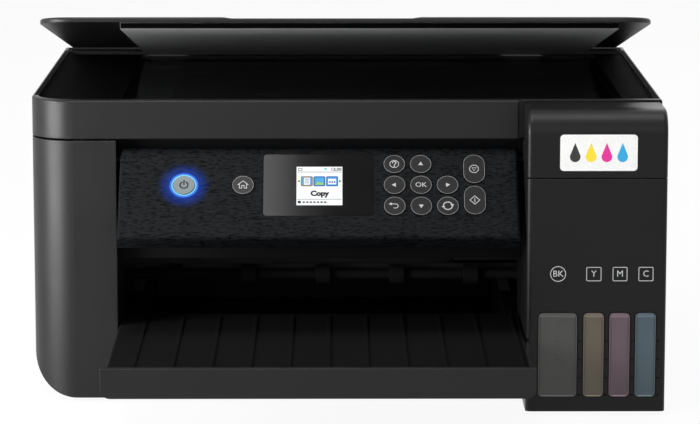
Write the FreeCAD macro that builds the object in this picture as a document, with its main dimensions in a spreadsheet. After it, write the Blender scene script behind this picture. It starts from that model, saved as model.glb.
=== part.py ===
import FreeCAD, Part
import os
import re
import Sketcher

doc = FreeCAD.newDocument("InkTankPrinter")

# Driving sizes in millimetres. X runs left to right, Y front to back, Z up.
SIZES = [
    # Outer casing
    ("body_width", 375), ("body_depth", 309), ("wall", 2.5), ("floor", 2.5), ("casing_gap", 0.3),
    ("foot_height", 3), ("foot_radius", 9), ("foot_inset", 40), ("foot_setback", 24),
    ("side_top", 158.4), ("column_width", 51.5), ("corner_radius", 26), ("bottom_radius", 27),
    ("return_depth", 60), ("base_top", 39), ("screw_radius", 2), ("screw_head", 3.4),
    ("screw_sink", 1.5), ("screw_length", 12), ("screw_low", 52), ("screw_high", 140),
    ("boss_radius", 5), ("boss_length", 16), ("boss_sink", 0.5), ("overlap", 1), ("clearance", 10),
    ("soft_margin", 0.5),
    # Ink tank unit at the right of the front
    ("tank_width", 82), ("tank_proud", 38), ("tank_front_top", 141.4), ("tank_seam", 0.6),
    ("tank_edge_radius", 3), ("cover_drop", 1), ("cover_edge_radius", 15), ("cover_back_gap", 1.5),
    ("cover_pin_radius", 1.6), ("cover_pin_inset", 5), ("ear_radius", 4), ("ear_width", 4),
    ("ear_gap", 0.4), ("window_low", 12), ("window_high", 62), ("window_radius", 2.6),
    ("window_proud", 0.6), ("window_gap", 0.3), ("black_left", 7.3), ("black_width", 22.5),
    ("colour_left", 33.7), ("colour_width", 11.8), ("colour_pitch", 15.2), ("tank_back", 58),
    ("tank_headroom", 9.9), ("tank_skin", 1.6), ("neck_radius", 4.6), ("neck_bore", 3),
    ("neck_rise", 4), ("neck_setback", 19), ("neck_gap", 0.4), ("cap_radius", 5.4),
    ("cap_height", 9), ("cap_gap", 0.1), ("plug_length", 8),
    # Scanner
    ("scanner_gap", 1.2), ("scanner_height", 22.9), ("scanner_rear_margin", 33),
    ("scanner_notch", 3), ("frame_plate", 8), ("bed_rim", 4), ("bed_sink", 2.6), ("bed_rear_margin", 20),
    ("rim_radius", 1.2), ("glass_margin_left", 53.5), ("glass_margin_right", 21.5),
    ("glass_front", 26), ("glass_rear_margin", 28), ("glass_thickness", 3), ("glass_gap", 0.2),
    ("glass_ledge", 3), ("glass_sink", 2.7), ("cis_width", 24), ("cis_height", 9),
    ("cis_rise", 5.4), ("cis_start", 8), ("cis_end_gap", 4), ("cis_rail_radius", 2),
    ("cis_rail_rise", 3), ("lift_pin_setback", 5), ("lift_pin_rise", 4.4), ("lift_pin_radius", 2),
    ("lift_radius", 4), ("lift_inset", 32.5), ("lift_width", 10), ("lug_gap", 0.5),
    ("lug_width", 9), ("cis_post_width", 8), ("cis_post_depth", 10),
    # Document lid
    ("lid_side_gap", 5.5), ("lid_front", 3), ("lid_thickness", 3), ("lid_skin", 2),
    ("lid_corner_radius", 20), ("lid_pin_inset", 11), ("lid_pin_rise", 3.5), ("lid_tail", 2.4),
    ("lid_angle", 9.8), ("lid_gap", 1.2), ("lid_pin_radius", 2.2), ("lid_notch_width", 26),
    ("lid_notch_depth", 12), ("lid_notch_place", 118), ("hinge_width", 21), ("hinge_radius", 3.4),
    ("pin_boss_width", 4), ("pin_boss_reach", 6), ("mat_margin_left", 54),
    ("mat_margin_right", 25.5), ("mat_front", 10), ("mat_back", 20), ("mat_gap", 0.2),
    ("recess_width", 102), ("recess_depth", 13), ("recess_drop", 1.2), ("recess_place", -14),
    ("recess_flare", 16),
    # Control panel
    ("panel_left_gap", 2.4), ("panel_right_gap", 3.3), ("panel_height", 64),
    ("panel_thickness", 12), ("panel_tilt", 42), ("panel_above_pin", 5), ("panel_pin_drop", 12.1),
    ("panel_pin_radius", 2), ("panel_pin_reach", 4.8), ("panel_edge_radius", 2),
    ("lens_shift", -0.3), ("lens_width", 65), ("lens_drop", 5.4), ("lens_height", 43),
    ("lens_thickness", 1.6), ("lens_radius", 2), ("lens_gap", 0.1), ("button_radius", 6.3),
    ("button_proud", 0.7), ("button_depth", 3.2), ("button_gap", 0.25), ("button_well", 4.5),
    ("button_offset", 44.4), ("button_column", 15.6), ("button_drop", 12.6), ("button_row", 14.7),
    ("power_inset", 38.3), ("home_offset", 44.8), ("oblong_offset", 91.5), ("oblong_drop", 16.1),
    ("oblong_pitch", 21.9), ("oblong_length", 19.8), ("oblong_round", 6.2),
    # Paper output
    ("tray_reach", 170), ("tray_left_gap", 1), ("tray_right_gap", 1.5), ("tray_length", 206),
    ("tray_floor", 3), ("tray_height", 44), ("tray_gap", 0.3), ("rail_width", 7), ("rail_start", 6),
    ("lip_thickness", 4), ("lip_low", 40.2), ("lip_high", 57), ("lip_corner", 5.5),
    ("fascia_setback", 14), ("fascia_drop", 72.9), ("fascia_wall", 3),
    # Printing mechanism
    ("frame_left_reach", 12), ("frame_right_reach", 14.5), ("frame_sheet", 1.5),
    ("frame_front", 80), ("belt_rear_gap", 4.2), ("frame_low", 60), ("frame_headroom", 8.4),
    ("rail_radius", 4), ("rail_depth", 124), ("rail_height", 112), ("running_gap", 0.05),
    ("carriage_width", 56), ("carriage_front", 84), ("carriage_back", 142.4), ("carriage_low", 78),
    ("carriage_high", 138), ("carriage_margin", 32), ("clamp_width", 10), ("clamp_height", 4),
    ("clamp_gap", 0.1), ("head_width", 40), ("head_front", 98), ("head_depth", 30),
    ("head_height", 9), ("platen_front", 98), ("platen_depth", 30), ("platen_low", 58),
    ("platen_top", 67), ("belt_gap", 0.4), ("belt_width", 5), ("belt_thickness", 1),
    ("belt_height", 122), ("pulley_radius", 7), ("pulley_inset", 16), ("pulley_shaft", 2),
    ("motor_radius", 14), ("motor_length", 24), ("motor_shaft_length", 10), ("feed_height", 62),
    ("feed_depth", 136), ("feed_radius", 5), ("exit_depth", 88), ("exit_ring_radius", 6),
    ("exit_ring_width", 9), ("exit_ring_pitch", 46), ("shaft_radius", 3), ("roller_end_gap", 2),
    ("drive_radius", 9), ("drive_width", 6), ("drive_place", 1.5),
    # Rear paper feed
    ("deck_gap", 1), ("slot_front_gap", 0.5), ("slot_rear_gap", 1), ("slot_margin", 6),
    ("feeder_width", 236), ("feeder_margin", 9), ("feeder_wall", 3), ("cheek_depth", 44),
    ("ledge_low", 62), ("ledge_high", 66), ("pickup_setback", 38), ("pickup_height", 100),
    ("pickup_radius", 14), ("pickup_width", 40), ("support_side_gap", 1), ("support_thickness", 3),
    ("support_gap", 0.1), ("guide_setback", 20), ("guide_depth", 13), ("guide_thickness", 4),
    ("guide_side_gap", 5), ("guide_top", 150),
    # Electronics and waste ink
    ("board_thickness", 1.6), ("board_inset", 9), ("board_gap", 18), ("board_rear_gap", 7),
    ("board_low", 60), ("board_high", 130), ("standoff_radius", 3), ("standoff_front", 12),
    ("standoff_rise", 10), ("standoff_rear", 30), ("supply_width", 24), ("supply_gap", 12),
    ("supply_rear_gap", 25), ("supply_height", 42), ("inlet_place", 24), ("inlet_width", 20),
    ("inlet_height", 11), ("inlet_low", 22), ("inlet_depth", 18), ("usb_width", 12),
    ("usb_height", 11), ("usb_low", 66), ("usb_depth", 18), ("socket_gap", 0.2),
    ("socket_wall", 1.5), ("socket_mouth", 12), ("contact_radius", 1.2), ("contact_pitch", 8.6),
    ("tongue_height", 3), ("tongue_margin", 3), ("waste_margin", 65.5), ("waste_width", 52),
    ("waste_depth", 70), ("waste_height", 44), ("waste_gap", 0.4),
]

sheet = doc.addObject("Spreadsheet::Sheet", "Sizes")
for row, (alias, size) in enumerate(SIZES, start=1):
    sheet.set(f"A{row}", alias)
    sheet.set(f"B{row}", str(size))
    sheet.setAlias(f"B{row}", alias)
doc.recompute()
ALIAS = re.compile(r"\b(" + "|".join(alias for alias, _ in SIZES) + r")\b")
parts = {}

# Places and sizes that follow from the driving sizes, by the name that the pieces below use
PLACES = {
    "scanner_low": "(side_top + scanner_gap)",
    "scanner_top": "(scanner_low + scanner_height)",
    "scanner_depth": "(body_depth - scanner_rear_margin)",
    "cover_top": "(scanner_top - cover_drop)",
    "tank_top": "(tank_front_top - wall - tank_headroom)",
    "glass_left": "(body_width / 2 - glass_margin_left)",
    "glass_right": "(body_width / 2 - glass_margin_right)",
    "glass_length": "(scanner_depth - glass_front - glass_rear_margin)",
    "cis_low": "(scanner_low + cis_rise)",
    "mat_left": "(body_width / 2 - mat_margin_left)",
    "mat_right": "(body_width / 2 - mat_margin_right)",
    "lid_width": "(body_width - 2 * lid_side_gap)",
    "lid_pin_depth": "(scanner_depth - lid_pin_inset)",
    "lid_pin_height": "(scanner_top + lid_pin_rise)",
    "lift_pin_depth": "(scanner_depth + lift_pin_setback)",
    "lift_pin_height": "(scanner_low + lift_pin_rise)",
    "lift_place": "(body_width / 2 - lift_inset)",
    "panel_left": "(body_width / 2 - column_width - panel_left_gap)",
    "panel_right": "(body_width / 2 - tank_width - panel_right_gap)",
    "panel_middle": "((panel_right - panel_left) / 2)",
    "panel_pin_height": "(side_top - panel_pin_drop)",
    "lens_left": "(panel_middle + lens_shift - lens_width / 2)",
    "power_place": "(power_inset - panel_left)",
    "home_place": "(panel_middle - home_offset)",
    "button_first": "(panel_middle + button_offset)",
    "oblong_place": "(panel_middle + oblong_offset)",
    "tray_left": "(body_width / 2 - column_width - tray_left_gap)",
    "tray_right": "(body_width / 2 - tank_width - tray_right_gap)",
    "fascia_low": "(side_top - fascia_drop)",
    "frame_left": "(column_width - body_width / 2 - frame_left_reach)",
    "frame_right": "(body_width / 2 - tank_width + frame_right_reach)",
    "frame_back": "(belt_front + belt_width + belt_rear_gap)",
    "frame_high": "(side_top - frame_headroom)",
    "belt_front": "(carriage_back + belt_gap)",
    "carriage_park": "(frame_right - carriage_margin)",
    "feeder_back": "(body_depth - feeder_margin)",
    "feeder_front": "(feeder_back - cheek_depth)",
    "pickup_depth": "(feeder_back - pickup_setback)",
    "guide_front": "(feeder_back - guide_setback)",
    "guide_spread": "(feeder_width / 2 - feeder_wall - guide_thickness - guide_side_gap)",
    "support_width": "(2 * guide_spread - 2 * support_side_gap)",
    "deck_front": "(scanner_depth + deck_gap)",
    "slot_front": "(guide_front - slot_front_gap)",
    "slot_back": "(feeder_back + slot_rear_gap)",
    "slot_width": "(feeder_width - 2 * slot_margin)",
    "board_front": "(frame_back + board_gap)",
    "board_length": "(body_depth - board_front - board_rear_gap)",
    "supply_front": "(frame_back + supply_gap)",
    "supply_length": "(body_depth - supply_front - supply_rear_gap)",
    "waste_left": "(body_width / 2 - waste_margin)",
}
PLACE = re.compile(r"\b(" + "|".join(PLACES) + r")\b")

# Main places; the origin is under the middle of the part with its tray drawn out
LEFT = "(0 - body_width / 2)"
RIGHT = "(body_width / 2)"
FRONT = "((tray_reach - body_depth) / 2)"
REAR = "((tray_reach + body_depth) / 2)"
COVER_REAR = f"({REAR} - wall)"
TANK_FRONT = f"({FRONT} - tank_proud)"
TANK_LEFT = "(body_width / 2 - tank_width)"
COLUMN = "(column_width - body_width / 2)"
FLOOR_TOP = "(foot_height + floor)"
PANEL_PIN = f"({FRONT} + panel_thickness / 2)"
LID_PIN = f"({FRONT} + lid_pin_depth)"
COVER_PIN = f"({FRONT} - cover_back_gap - cover_pin_inset)"
COVER_PIN_HEIGHT = "(cover_top - wall - ear_radius - ear_gap)"
NECK_TOP = "(tank_front_top + neck_rise)"
LIFT_PIN = f"({FRONT} + lift_pin_depth)"
SIDES = (("left", "(0 - 1)"), ("right", "1"))


def spelled(expression):
    """The expression with each named place written out in driving sizes."""
    text = str(expression)
    while PLACE.search(text):
        text = PLACE.sub(lambda found: PLACES[found.group(1)], text)
    return text


def linked(expression):
    """The expression with each size written as the spreadsheet's cell."""
    return ALIAS.sub(r"Sizes.\1", spelled(expression))


def value(expression):
    """What an expression of the sizes comes to now."""
    return float(sheet.evalExpression(spelled(expression)))


def bind(item, prop, expression):
    item.setExpression(prop, linked(expression))


def behind(distance):
    """A place that many millimetres behind the front face."""
    return f"({FRONT} + {distance})"


def place(item, x, y, z):
    for letter, expression in zip("xyz", (x, y, z)):
        bind(item, f"Placement.Base.{letter}", expression)


def block(name, x, y, z):
    """A box between the low and high expressions of x, y and z."""
    item = doc.addObject("Part::Box", name)
    for prop, (low, high) in zip(("Length", "Width", "Height"), (x, y, z)):
        bind(item, prop, f"({high}) - ({low})")
    place(item, x[0], y[0], z[0])
    return item


TURNS = {"X": FreeCAD.Rotation(FreeCAD.Vector(0, 1, 0), 90),
         "Y": FreeCAD.Rotation(FreeCAD.Vector(1, 0, 0), -90), "Z": FreeCAD.Rotation()}


def rod(name, axis, radius, span, u, v):
    """A cylinder along axis over span; u and v are its other two coordinates, in X, Y, Z order."""
    item = doc.addObject("Part::Cylinder", name)
    item.Placement = FreeCAD.Placement(FreeCAD.Vector(), TURNS[axis])
    bind(item, "Radius", radius)
    bind(item, "Height", f"({span[1]}) - ({span[0]})")
    point = {"X": (span[0], u, v), "Y": (u, span[0], v), "Z": (u, v, span[0])}[axis]
    place(item, *point)
    return item


def join(name, *pieces):
    item = doc.addObject("Part::MultiFuse", name)
    item.Shapes = list(pieces)
    item.Refine = True
    return item


def cut(name, base, *tools):
    item = doc.addObject("Part::Cut", name)
    item.Base = base
    item.Tool = tools[0] if len(tools) == 1 else join(name + "_tools", *tools)
    item.Refine = True
    return item


def group(name, *pieces):
    """Separate solids that are one node."""
    item = doc.addObject("Part::Compound", name)
    item.Links = list(pieces)
    return item


def rounded(name, base, radius, chosen):
    """The base with the edges that chosen(edge) picks rounded to the radius."""
    doc.recompute()
    item = doc.addObject("Part::Fillet", name)
    item.Base = base
    size = value(radius)
    item.Edges = [(n, size, size) for n, edge in enumerate(base.Shape.Edges, start=1) if chosen(edge)]
    return item


def along(edge, axis):
    """Whether a straight edge runs along the axis, by its letter."""
    if not isinstance(edge.Curve, Part.Line):
        return False
    return abs(getattr(edge.Curve.Direction, axis.lower())) > 0.999


def at(edge, **places):
    """Whether the edge's middle has these coordinates, given as expressions."""
    box = edge.BoundBox
    return all(abs(getattr(box.Center, axis) - value(wanted)) < 0.01 for axis, wanted in places.items())


PLANES = {"XY": "XY_Plane", "XZ": "XZ_Plane", "YZ": "YZ_Plane"}


def sketch_on(body, plane, offset):
    """An empty sketch on one of the body's origin planes, moved along that plane's normal."""
    sketch = body.newObject("Sketcher::SketchObject", body.Name + "_sketch")
    origin = next(f for f in body.Origin.OriginFeatures if f.Role == PLANES[plane])
    sketch.AttachmentSupport = [(origin, "")]
    sketch.MapMode = "FlatFace"
    bind(sketch, "AttachmentOffset.Base.z", offset)
    return sketch


def fix_point(sketch, geometry, end, u, v):
    """Ties a point of the sketch to two expressions."""
    for kind, expression in (("DistanceX", u), ("DistanceY", v)):
        number = sketch.addConstraint(Sketcher.Constraint(kind, geometry, end, value(expression)))
        bind(sketch, f"Constraints[{number}]", expression)


def outline(sketch, points):
    """A closed outline of straight lines through points, each a pair of expressions."""
    corners = [FreeCAD.Vector(value(u), value(v), 0) for u, v in points]
    count = len(points)
    for n in range(count):
        sketch.addGeometry(Part.LineSegment(corners[n], corners[(n + 1) % count]), False)
    for n in range(count):
        sketch.addConstraint(Sketcher.Constraint("Coincident", n, 2, (n + 1) % count, 1))
    for n, (u, v) in enumerate(points):
        fix_point(sketch, n, 1, u, v)


def circle(sketch, u, v, radius):
    centre = FreeCAD.Vector(value(u), value(v), 0)
    made = sketch.addGeometry(Part.Circle(centre, FreeCAD.Vector(0, 0, 1), value(radius)), False)
    fix_point(sketch, made, 3, u, v)
    number = sketch.addConstraint(Sketcher.Constraint("Radius", made, value(radius)))
    bind(sketch, f"Constraints[{number}]", radius)


def pad(body, sketch, length):
    feature = body.newObject("PartDesign::Pad", body.Name + "_pad")
    feature.Profile = sketch
    bind(feature, "Length", length)
    return feature


def body_fillet(body, feature, radius, chosen):
    """Rounds the edges of a body's feature that chosen(edge) picks."""
    doc.recompute()
    names = [f"Edge{n}" for n, edge in enumerate(feature.Shape.Edges, start=1) if chosen(edge)]
    fillet = body.newObject("PartDesign::Fillet", body.Name + "_fillet")
    fillet.Base = (feature, names)
    bind(fillet, "Radius", radius)
    return fillet


def plate(name, plane, u, v, offset, length, radius=None, flare="0"):
    """A padded rectangle as a body, with rounded corners or a wider upper side if those are given."""
    body = doc.addObject("PartDesign::Body", name)
    sketch = sketch_on(body, plane, offset)
    outline(sketch, [(u[0], v[0]), (u[1], v[0]), (f"{u[1]} + {flare}", v[1]), (f"{u[0]} - {flare}", v[1])])
    feature = pad(body, sketch, length)
    if radius:
        normal = {"XY": "Z", "XZ": "Y", "YZ": "X"}[plane]
        body_fillet(body, feature, radius, lambda edge: along(edge, normal))
    return body


def disc(name, plane, u, v, radius, offset, length):
    """A padded circle as a body."""
    body = doc.addObject("PartDesign::Body", name)
    sketch = sketch_on(body, plane, offset)
    circle(sketch, u, v, radius)
    pad(body, sketch, length)
    return body


def node(label, item):
    """Names a finished piece; its file takes the name."""
    item.Label = label
    parts[label] = item
    return item


def hang(item, pin_depth, pin_height, angle):
    """Places a piece that is drawn about its hinge pin, with its front end turned up by the angle."""
    item.Placement = FreeCAD.Placement(FreeCAD.Vector(), FreeCAD.Rotation(FreeCAD.Vector(1, 0, 0), -1))
    bind(item, "Placement.Rotation.Angle", f"0 - {angle}")
    place(item, "0", pin_depth, pin_height)


def common(name, *pieces):
    item = doc.addObject("Part::MultiCommon", name)
    item.Shapes = list(pieces)
    return item


# Left cover: the side wall and the front column, rounded at its front and lower edges
def column_block(name, inset, right, rear, top):
    """The column's rounded outline, set in by a distance."""
    sides = (f"{LEFT} + {inset}", right)
    depth = (f"{FRONT} + {inset}", rear)
    height = (f"foot_height + {inset}", top)
    upright = block(name + "_upright", sides, depth, height)
    front_edge = rounded(name + "_front", upright, f"corner_radius - {inset}",
                         lambda edge: along(edge, "Z") and at(edge, x=sides[0], y=depth[0]))
    lower = block(name + "_lower", sides, depth, height)
    lower_edge = rounded(name + "_under", lower, f"bottom_radius - {inset}",
                         lambda edge: along(edge, "Y") and at(edge, x=sides[0], z=height[0]))
    return common(name, front_edge, lower_edge)


column_outer = column_block("column_outer", "0", COLUMN, COVER_REAR, "side_top")
column_inner = column_block("column_inner", "wall", f"{COLUMN} - wall", f"{REAR} + wall", "side_top + wall")
column_open = block("column_open", (f"{COLUMN} - 2 * wall", f"{COLUMN} + wall"),
                    (behind("return_depth"), REAR), (FLOOR_TOP, "side_top + wall"))
column_pin = rod("column_pin", "X", "panel_pin_radius + running_gap",
                 (f"{COLUMN} - 2 * wall", f"{COLUMN} + wall"), PANEL_PIN, "panel_pin_height")
left_shell = cut("left_shell", column_outer, column_inner, column_open, column_pin)
STANDOFFS = [("board_front + standoff_front", "board_low + standoff_rise"),
             ("board_front + standoff_front", "board_high - standoff_rise"),
             ("board_front + board_length - standoff_rear", "board_low + standoff_rear"),
             ("board_front + board_length - standoff_rear", "board_high - standoff_rise")]
standoffs = [rod(f"standoff_{n}", "X", "standoff_radius",
                 (f"{LEFT} + wall / 2", f"{LEFT} + wall + board_inset"), behind(depth), height) for n,
             (depth, height) in enumerate(STANDOFFS)]


def screw_boss(name, x, height):
    """A boss behind the rear cover, with the screw's hole."""
    outer = rod(name + "_outer", "Y", "boss_radius", (f"{COVER_REAR} - boss_length", COVER_REAR), x, height)
    hole = rod(name + "_hole", "Y", "screw_radius", (f"{COVER_REAR} - boss_length - overlap", REAR), x,
               height)
    return cut(name, outer, hole)


BOSS_LEFT = f"({LEFT} + wall + boss_radius - boss_sink)"
BOSS_RIGHT = f"({RIGHT} - wall - boss_radius + boss_sink)"
left_bosses = [screw_boss(f"left_boss_{level}", BOSS_LEFT, f"screw_{level}") for level in ("low", "high")]
node("left_cover", join("left_cover_join", left_shell, *standoffs, *left_bosses))

# Right cover: the side wall and the housing of the ink tanks, with their windows
TANKS = {"black": ("black_left", "black_width")}
for step, colour in enumerate(("yellow", "magenta", "cyan")):
    TANKS[colour] = (f"colour_left + {step} * colour_pitch", "colour_width")


def tank_sides(colour, margin="0"):
    """The low and high x of a tank and its window."""
    start, width = TANKS[colour]
    return (f"{TANK_LEFT} + {start} - {margin}", f"{TANK_LEFT} + {start} + {width} + {margin}")


def tank_middle(colour):
    start, width = TANKS[colour]
    return f"({TANK_LEFT} + {start} + {width} / 2)"


tank_box = block("tank_box", (TANK_LEFT, RIGHT), (TANK_FRONT, f"{FRONT} + wall"),
                 ("foot_height", "tank_front_top"))
tank_outer = rounded("tank_outer", tank_box, "tank_edge_radius",
                     lambda edge: along(edge, "Z") and at(edge, y=TANK_FRONT))
side_outer = block("side_outer", (TANK_LEFT, RIGHT), (FRONT, COVER_REAR), ("foot_height", "side_top"))
ears = []
for side, start in (("left", f"({TANK_LEFT} + wall + ear_gap)"),
                    ("right", f"({RIGHT} - wall - ear_gap - ear_width)")):
    span = (start, f"{start} + ear_width")
    stem = block(f"ear_stem_{side}", span, (f"{COVER_PIN} - ear_radius", f"{COVER_PIN} + ear_radius"),
                 ("tank_front_top - wall", COVER_PIN_HEIGHT))
    head = rod(f"ear_head_{side}", "X", "ear_radius", span, COVER_PIN, COVER_PIN_HEIGHT)
    ears += [stem, head]
right_outer = join("right_outer", tank_outer, side_outer)
INSIDE = (f"{TANK_LEFT} + wall", f"{RIGHT} - wall")
hollow_front = block("hollow_front", INSIDE, (f"{TANK_FRONT} + wall", f"{FRONT} + 2 * wall"),
                     (FLOOR_TOP, "tank_front_top - wall"))
hollow_back = block("hollow_back", INSIDE, (f"{FRONT} + wall", REAR), (FLOOR_TOP, "side_top + wall"))
side_open = block("side_open", (f"{TANK_LEFT} - wall", f"{TANK_LEFT} + 2 * wall"),
                  (behind("return_depth + wall"), REAR), (FLOOR_TOP, "side_top + wall"))
right_pin = rod("right_pin", "X", "panel_pin_radius + running_gap",
                (f"{TANK_LEFT} - wall", f"{TANK_LEFT} + 2 * wall"), PANEL_PIN, "panel_pin_height")
windows = []
for colour in TANKS:
    windows.append(plate(f"window_{colour}", "XZ", tank_sides(colour, "window_gap"),
                         ("window_low - window_gap", "window_high + window_gap"),
                         f"0 - {TANK_FRONT} - 2 * wall", "4 * wall", "window_radius + window_gap"))
    windows.append(rod(f"neck_hole_{colour}", "Z", "neck_radius + neck_gap",
                       ("tank_top", "tank_front_top + wall"), tank_middle(colour),
                       f"{TANK_FRONT} + neck_setback"))
right_shell = cut("right_shell", right_outer, hollow_front, hollow_back, side_open, right_pin, *windows)
right_bosses = [screw_boss(f"right_boss_{level}", BOSS_RIGHT, f"screw_{level}")
                for level in ("low", "high")]
right_joined = join("right_joined", right_shell, *ears, *right_bosses)
ear_hole = rod("ear_hole", "X", "cover_pin_radius + running_gap", (TANK_LEFT, RIGHT), COVER_PIN,
               COVER_PIN_HEIGHT)
node("right_cover", cut("right_cover_cut", right_joined, ear_hole))

# Ink tanks with their necks, and the caps that plug them
for colour in TANKS:
    sides = tank_sides(colour)
    across = tank_middle(colour)
    neck_depth = f"{TANK_FRONT} + neck_setback"
    back_face = f"({TANK_FRONT} + wall + window_gap)"
    shell = block(f"tank_shell_{colour}", sides, (back_face, behind("tank_back")), (FLOOR_TOP, "tank_top"))
    window = plate(f"tank_window_{colour}", "XZ", sides, ("window_low", "window_high"),
                   f"0 - {back_face} - tank_skin / 2",
                   "wall + window_gap + window_proud + tank_skin / 2", "window_radius")
    neck = rod(f"tank_neck_{colour}", "Z", "neck_radius", ("tank_top - tank_skin / 2", NECK_TOP),
               across, neck_depth)
    cavity = block(f"tank_cavity_{colour}", (f"{sides[0]} + tank_skin", f"{sides[1]} - tank_skin"),
                   (f"{back_face} + tank_skin", behind("tank_back - tank_skin")),
                   (f"{FLOOR_TOP} + tank_skin", "tank_top - tank_skin"))
    bore = rod(f"tank_bore_{colour}", "Z", "neck_bore",
               ("tank_top - 2 * tank_skin", f"{NECK_TOP} + wall"), across, neck_depth)
    solid = join(f"tank_join_{colour}", shell, window, neck)
    node(f"ink_tank_{colour}", cut(f"tank_cut_{colour}", solid, cavity, bore))
    cap_low = f"({NECK_TOP} + cap_gap)"
    crown = rod(f"cap_crown_{colour}", "Z", "cap_radius", (cap_low, f"{cap_low} + cap_height"), across,
                neck_depth)
    plug = rod(f"cap_plug_{colour}", "Z", "neck_bore - running_gap",
               (f"{cap_low} - plug_length", f"{cap_low} + overlap"), across, neck_depth)
    node(f"tank_cap_{colour}", join(f"cap_join_{colour}", crown, plug))

# Cover over the tank caps, hinged at its rear
cover_low = "(tank_front_top + tank_seam)"
cover_box = block("cover_box", (TANK_LEFT, RIGHT), (TANK_FRONT, f"{FRONT} - cover_back_gap"),
                  (cover_low, "cover_top"))
cover_round = rounded("cover_round", cover_box, "cover_edge_radius",
                      lambda edge: along(edge, "X") and at(edge, y=TANK_FRONT, z="cover_top"))
cover_outer = rounded("cover_outer", cover_round, "tank_edge_radius",
                      lambda edge: along(edge, "Z") and at(edge, y=TANK_FRONT))
cover_room_box = block("cover_room_box", INSIDE, (f"{TANK_FRONT} + wall", FRONT),
                       (f"{cover_low} - wall", "cover_top - wall"))
cover_room = rounded("cover_room", cover_room_box, "cover_edge_radius - wall",
                     lambda edge: along(edge, "X") and at(edge, y=f"{TANK_FRONT} + wall",
                                                          z="cover_top - wall"))
cover_shell = cut("cover_shell", cover_outer, cover_room)
cover_pins = [rod("cover_pin_left", "X", "cover_pin_radius",
                  (f"{TANK_LEFT} + wall / 2", f"{TANK_LEFT} + wall + ear_gap + ear_width"), COVER_PIN,
                  COVER_PIN_HEIGHT),
              rod("cover_pin_right", "X", "cover_pin_radius",
                  (f"{RIGHT} - wall - ear_gap - ear_width", f"{RIGHT} - wall / 2"), COVER_PIN,
                  COVER_PIN_HEIGHT)]
node("tank_cover", join("tank_cover_join", cover_shell, *cover_pins))

# Base pan with the sill under the tray and the ledges that the tray slides on
pan_sides = (f"{COLUMN} + casing_gap", f"{TANK_LEFT} - casing_gap")
pan_rear = f"({COVER_REAR} - casing_gap)"
pan_floor = block("pan_floor", pan_sides, (FRONT, pan_rear), ("foot_height", FLOOR_TOP))
pan_sill = block("pan_sill", pan_sides, (FRONT, f"{FRONT} + wall"), ("foot_height", "base_top"))
ledge_top = "(tray_height - tray_gap)"
ledge_depth = (behind("rail_start"), pan_rear)
pan_left = block("pan_left", (pan_sides[0], f"{pan_sides[0]} + rail_width"), ledge_depth,
                 ("foot_height", ledge_top))
pan_right = block("pan_right", (f"{pan_sides[1]} - rail_width", pan_sides[1]), ledge_depth,
                  ("foot_height", ledge_top))
node("base_pan", join("base_pan_join", pan_floor, pan_sill, pan_left, pan_right))

# Feet, one node
foot_spots = [("0 - body_width / 2 + foot_inset", behind("foot_setback")),
              ("0 - body_width / 2 + foot_inset", f"{REAR} - foot_setback"),
              ("body_width / 2 - foot_inset", f"{TANK_FRONT} + foot_setback"),
              ("body_width / 2 - foot_inset", f"{REAR} - foot_setback")]
feet = [rod(f"foot_{n}", "Z", "foot_radius", ("0", "foot_height"), x, y) for n,
        (x, y) in enumerate(foot_spots)]
node("feet", group("feet_group", *feet))

# Rear cover with the paper slot, the sockets' openings and the waste ink box's door
rear_plate = block("rear_plate", (LEFT, RIGHT), (COVER_REAR, REAR), ("foot_height", "side_top"))
rear_corner = rounded("rear_corner", rear_plate, "bottom_radius",
                      lambda edge: along(edge, "Y") and at(edge, x=LEFT, z="foot_height"))
rear_round = rounded("rear_round", rear_corner, "wall - soft_margin",
                     lambda edge: along(edge, "Z") and at(edge, y=REAR))
deck = block("deck", (f"{LEFT} + wall + casing_gap", f"{RIGHT} - wall - casing_gap"),
             (behind("deck_front"), REAR), ("side_top - wall", "side_top"))
lift_ears = []
for side, sign in SIDES:
    span = (f"{sign} * lift_place - lift_width / 2", f"{sign} * lift_place + lift_width / 2")
    stem = block(f"lift_stem_{side}", span, (f"{LIFT_PIN} - lift_radius", f"{LIFT_PIN} + lift_radius"),
                 ("side_top - wall / 2", "lift_pin_height"))
    head = rod(f"lift_head_{side}", "X", "lift_radius", span, LIFT_PIN, "lift_pin_height")
    lift_ears += [stem, head]
lift_hole = rod("lift_hole", "X", "lift_pin_radius + running_gap", (LEFT, RIGHT), LIFT_PIN,
                "lift_pin_height")
rear_joined = join("rear_joined", rear_round, deck, *lift_ears)
slot = block("slot", ("0 - slot_width / 2", "slot_width / 2"), (behind("slot_front"), behind("slot_back")),
             ("side_top - 2 * wall", "side_top + wall"))
inlet_left = f"({LEFT} + inlet_place - inlet_width / 2)"
inlet_sides = (inlet_left, f"{inlet_left} + inlet_width")
inlet_hole = block("inlet_hole", (f"{inlet_sides[0]} - socket_gap", f"{inlet_sides[1]} + socket_gap"),
                   (f"{REAR} - 2 * wall", f"{REAR} + wall"),
                   ("inlet_low - socket_gap", "inlet_low + inlet_height + socket_gap"))
usb_left = f"({LEFT} + wall + board_inset + board_thickness)"
usb_sides = (usb_left, f"{usb_left} + usb_width")
usb_hole = block("usb_hole", (f"{usb_sides[0]} - socket_gap", f"{usb_sides[1]} + socket_gap"),
                 (f"{REAR} - 2 * wall", f"{REAR} + wall"),
                 ("usb_low - socket_gap", "usb_low + usb_height + socket_gap"))
waste_low = f"({FLOOR_TOP} + waste_gap)"
waste_sides = ("waste_left", "waste_left + waste_width")
waste_hole = block("waste_hole", (f"{waste_sides[0]} - waste_gap", f"{waste_sides[1]} + waste_gap"),
                   (f"{REAR} - 2 * wall", f"{REAR} + wall"),
                   (FLOOR_TOP, f"{waste_low} + waste_height + waste_gap"))
SCREWS = [(x, f"screw_{level}") for x in (BOSS_LEFT, BOSS_RIGHT) for level in ("low", "high")]
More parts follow.
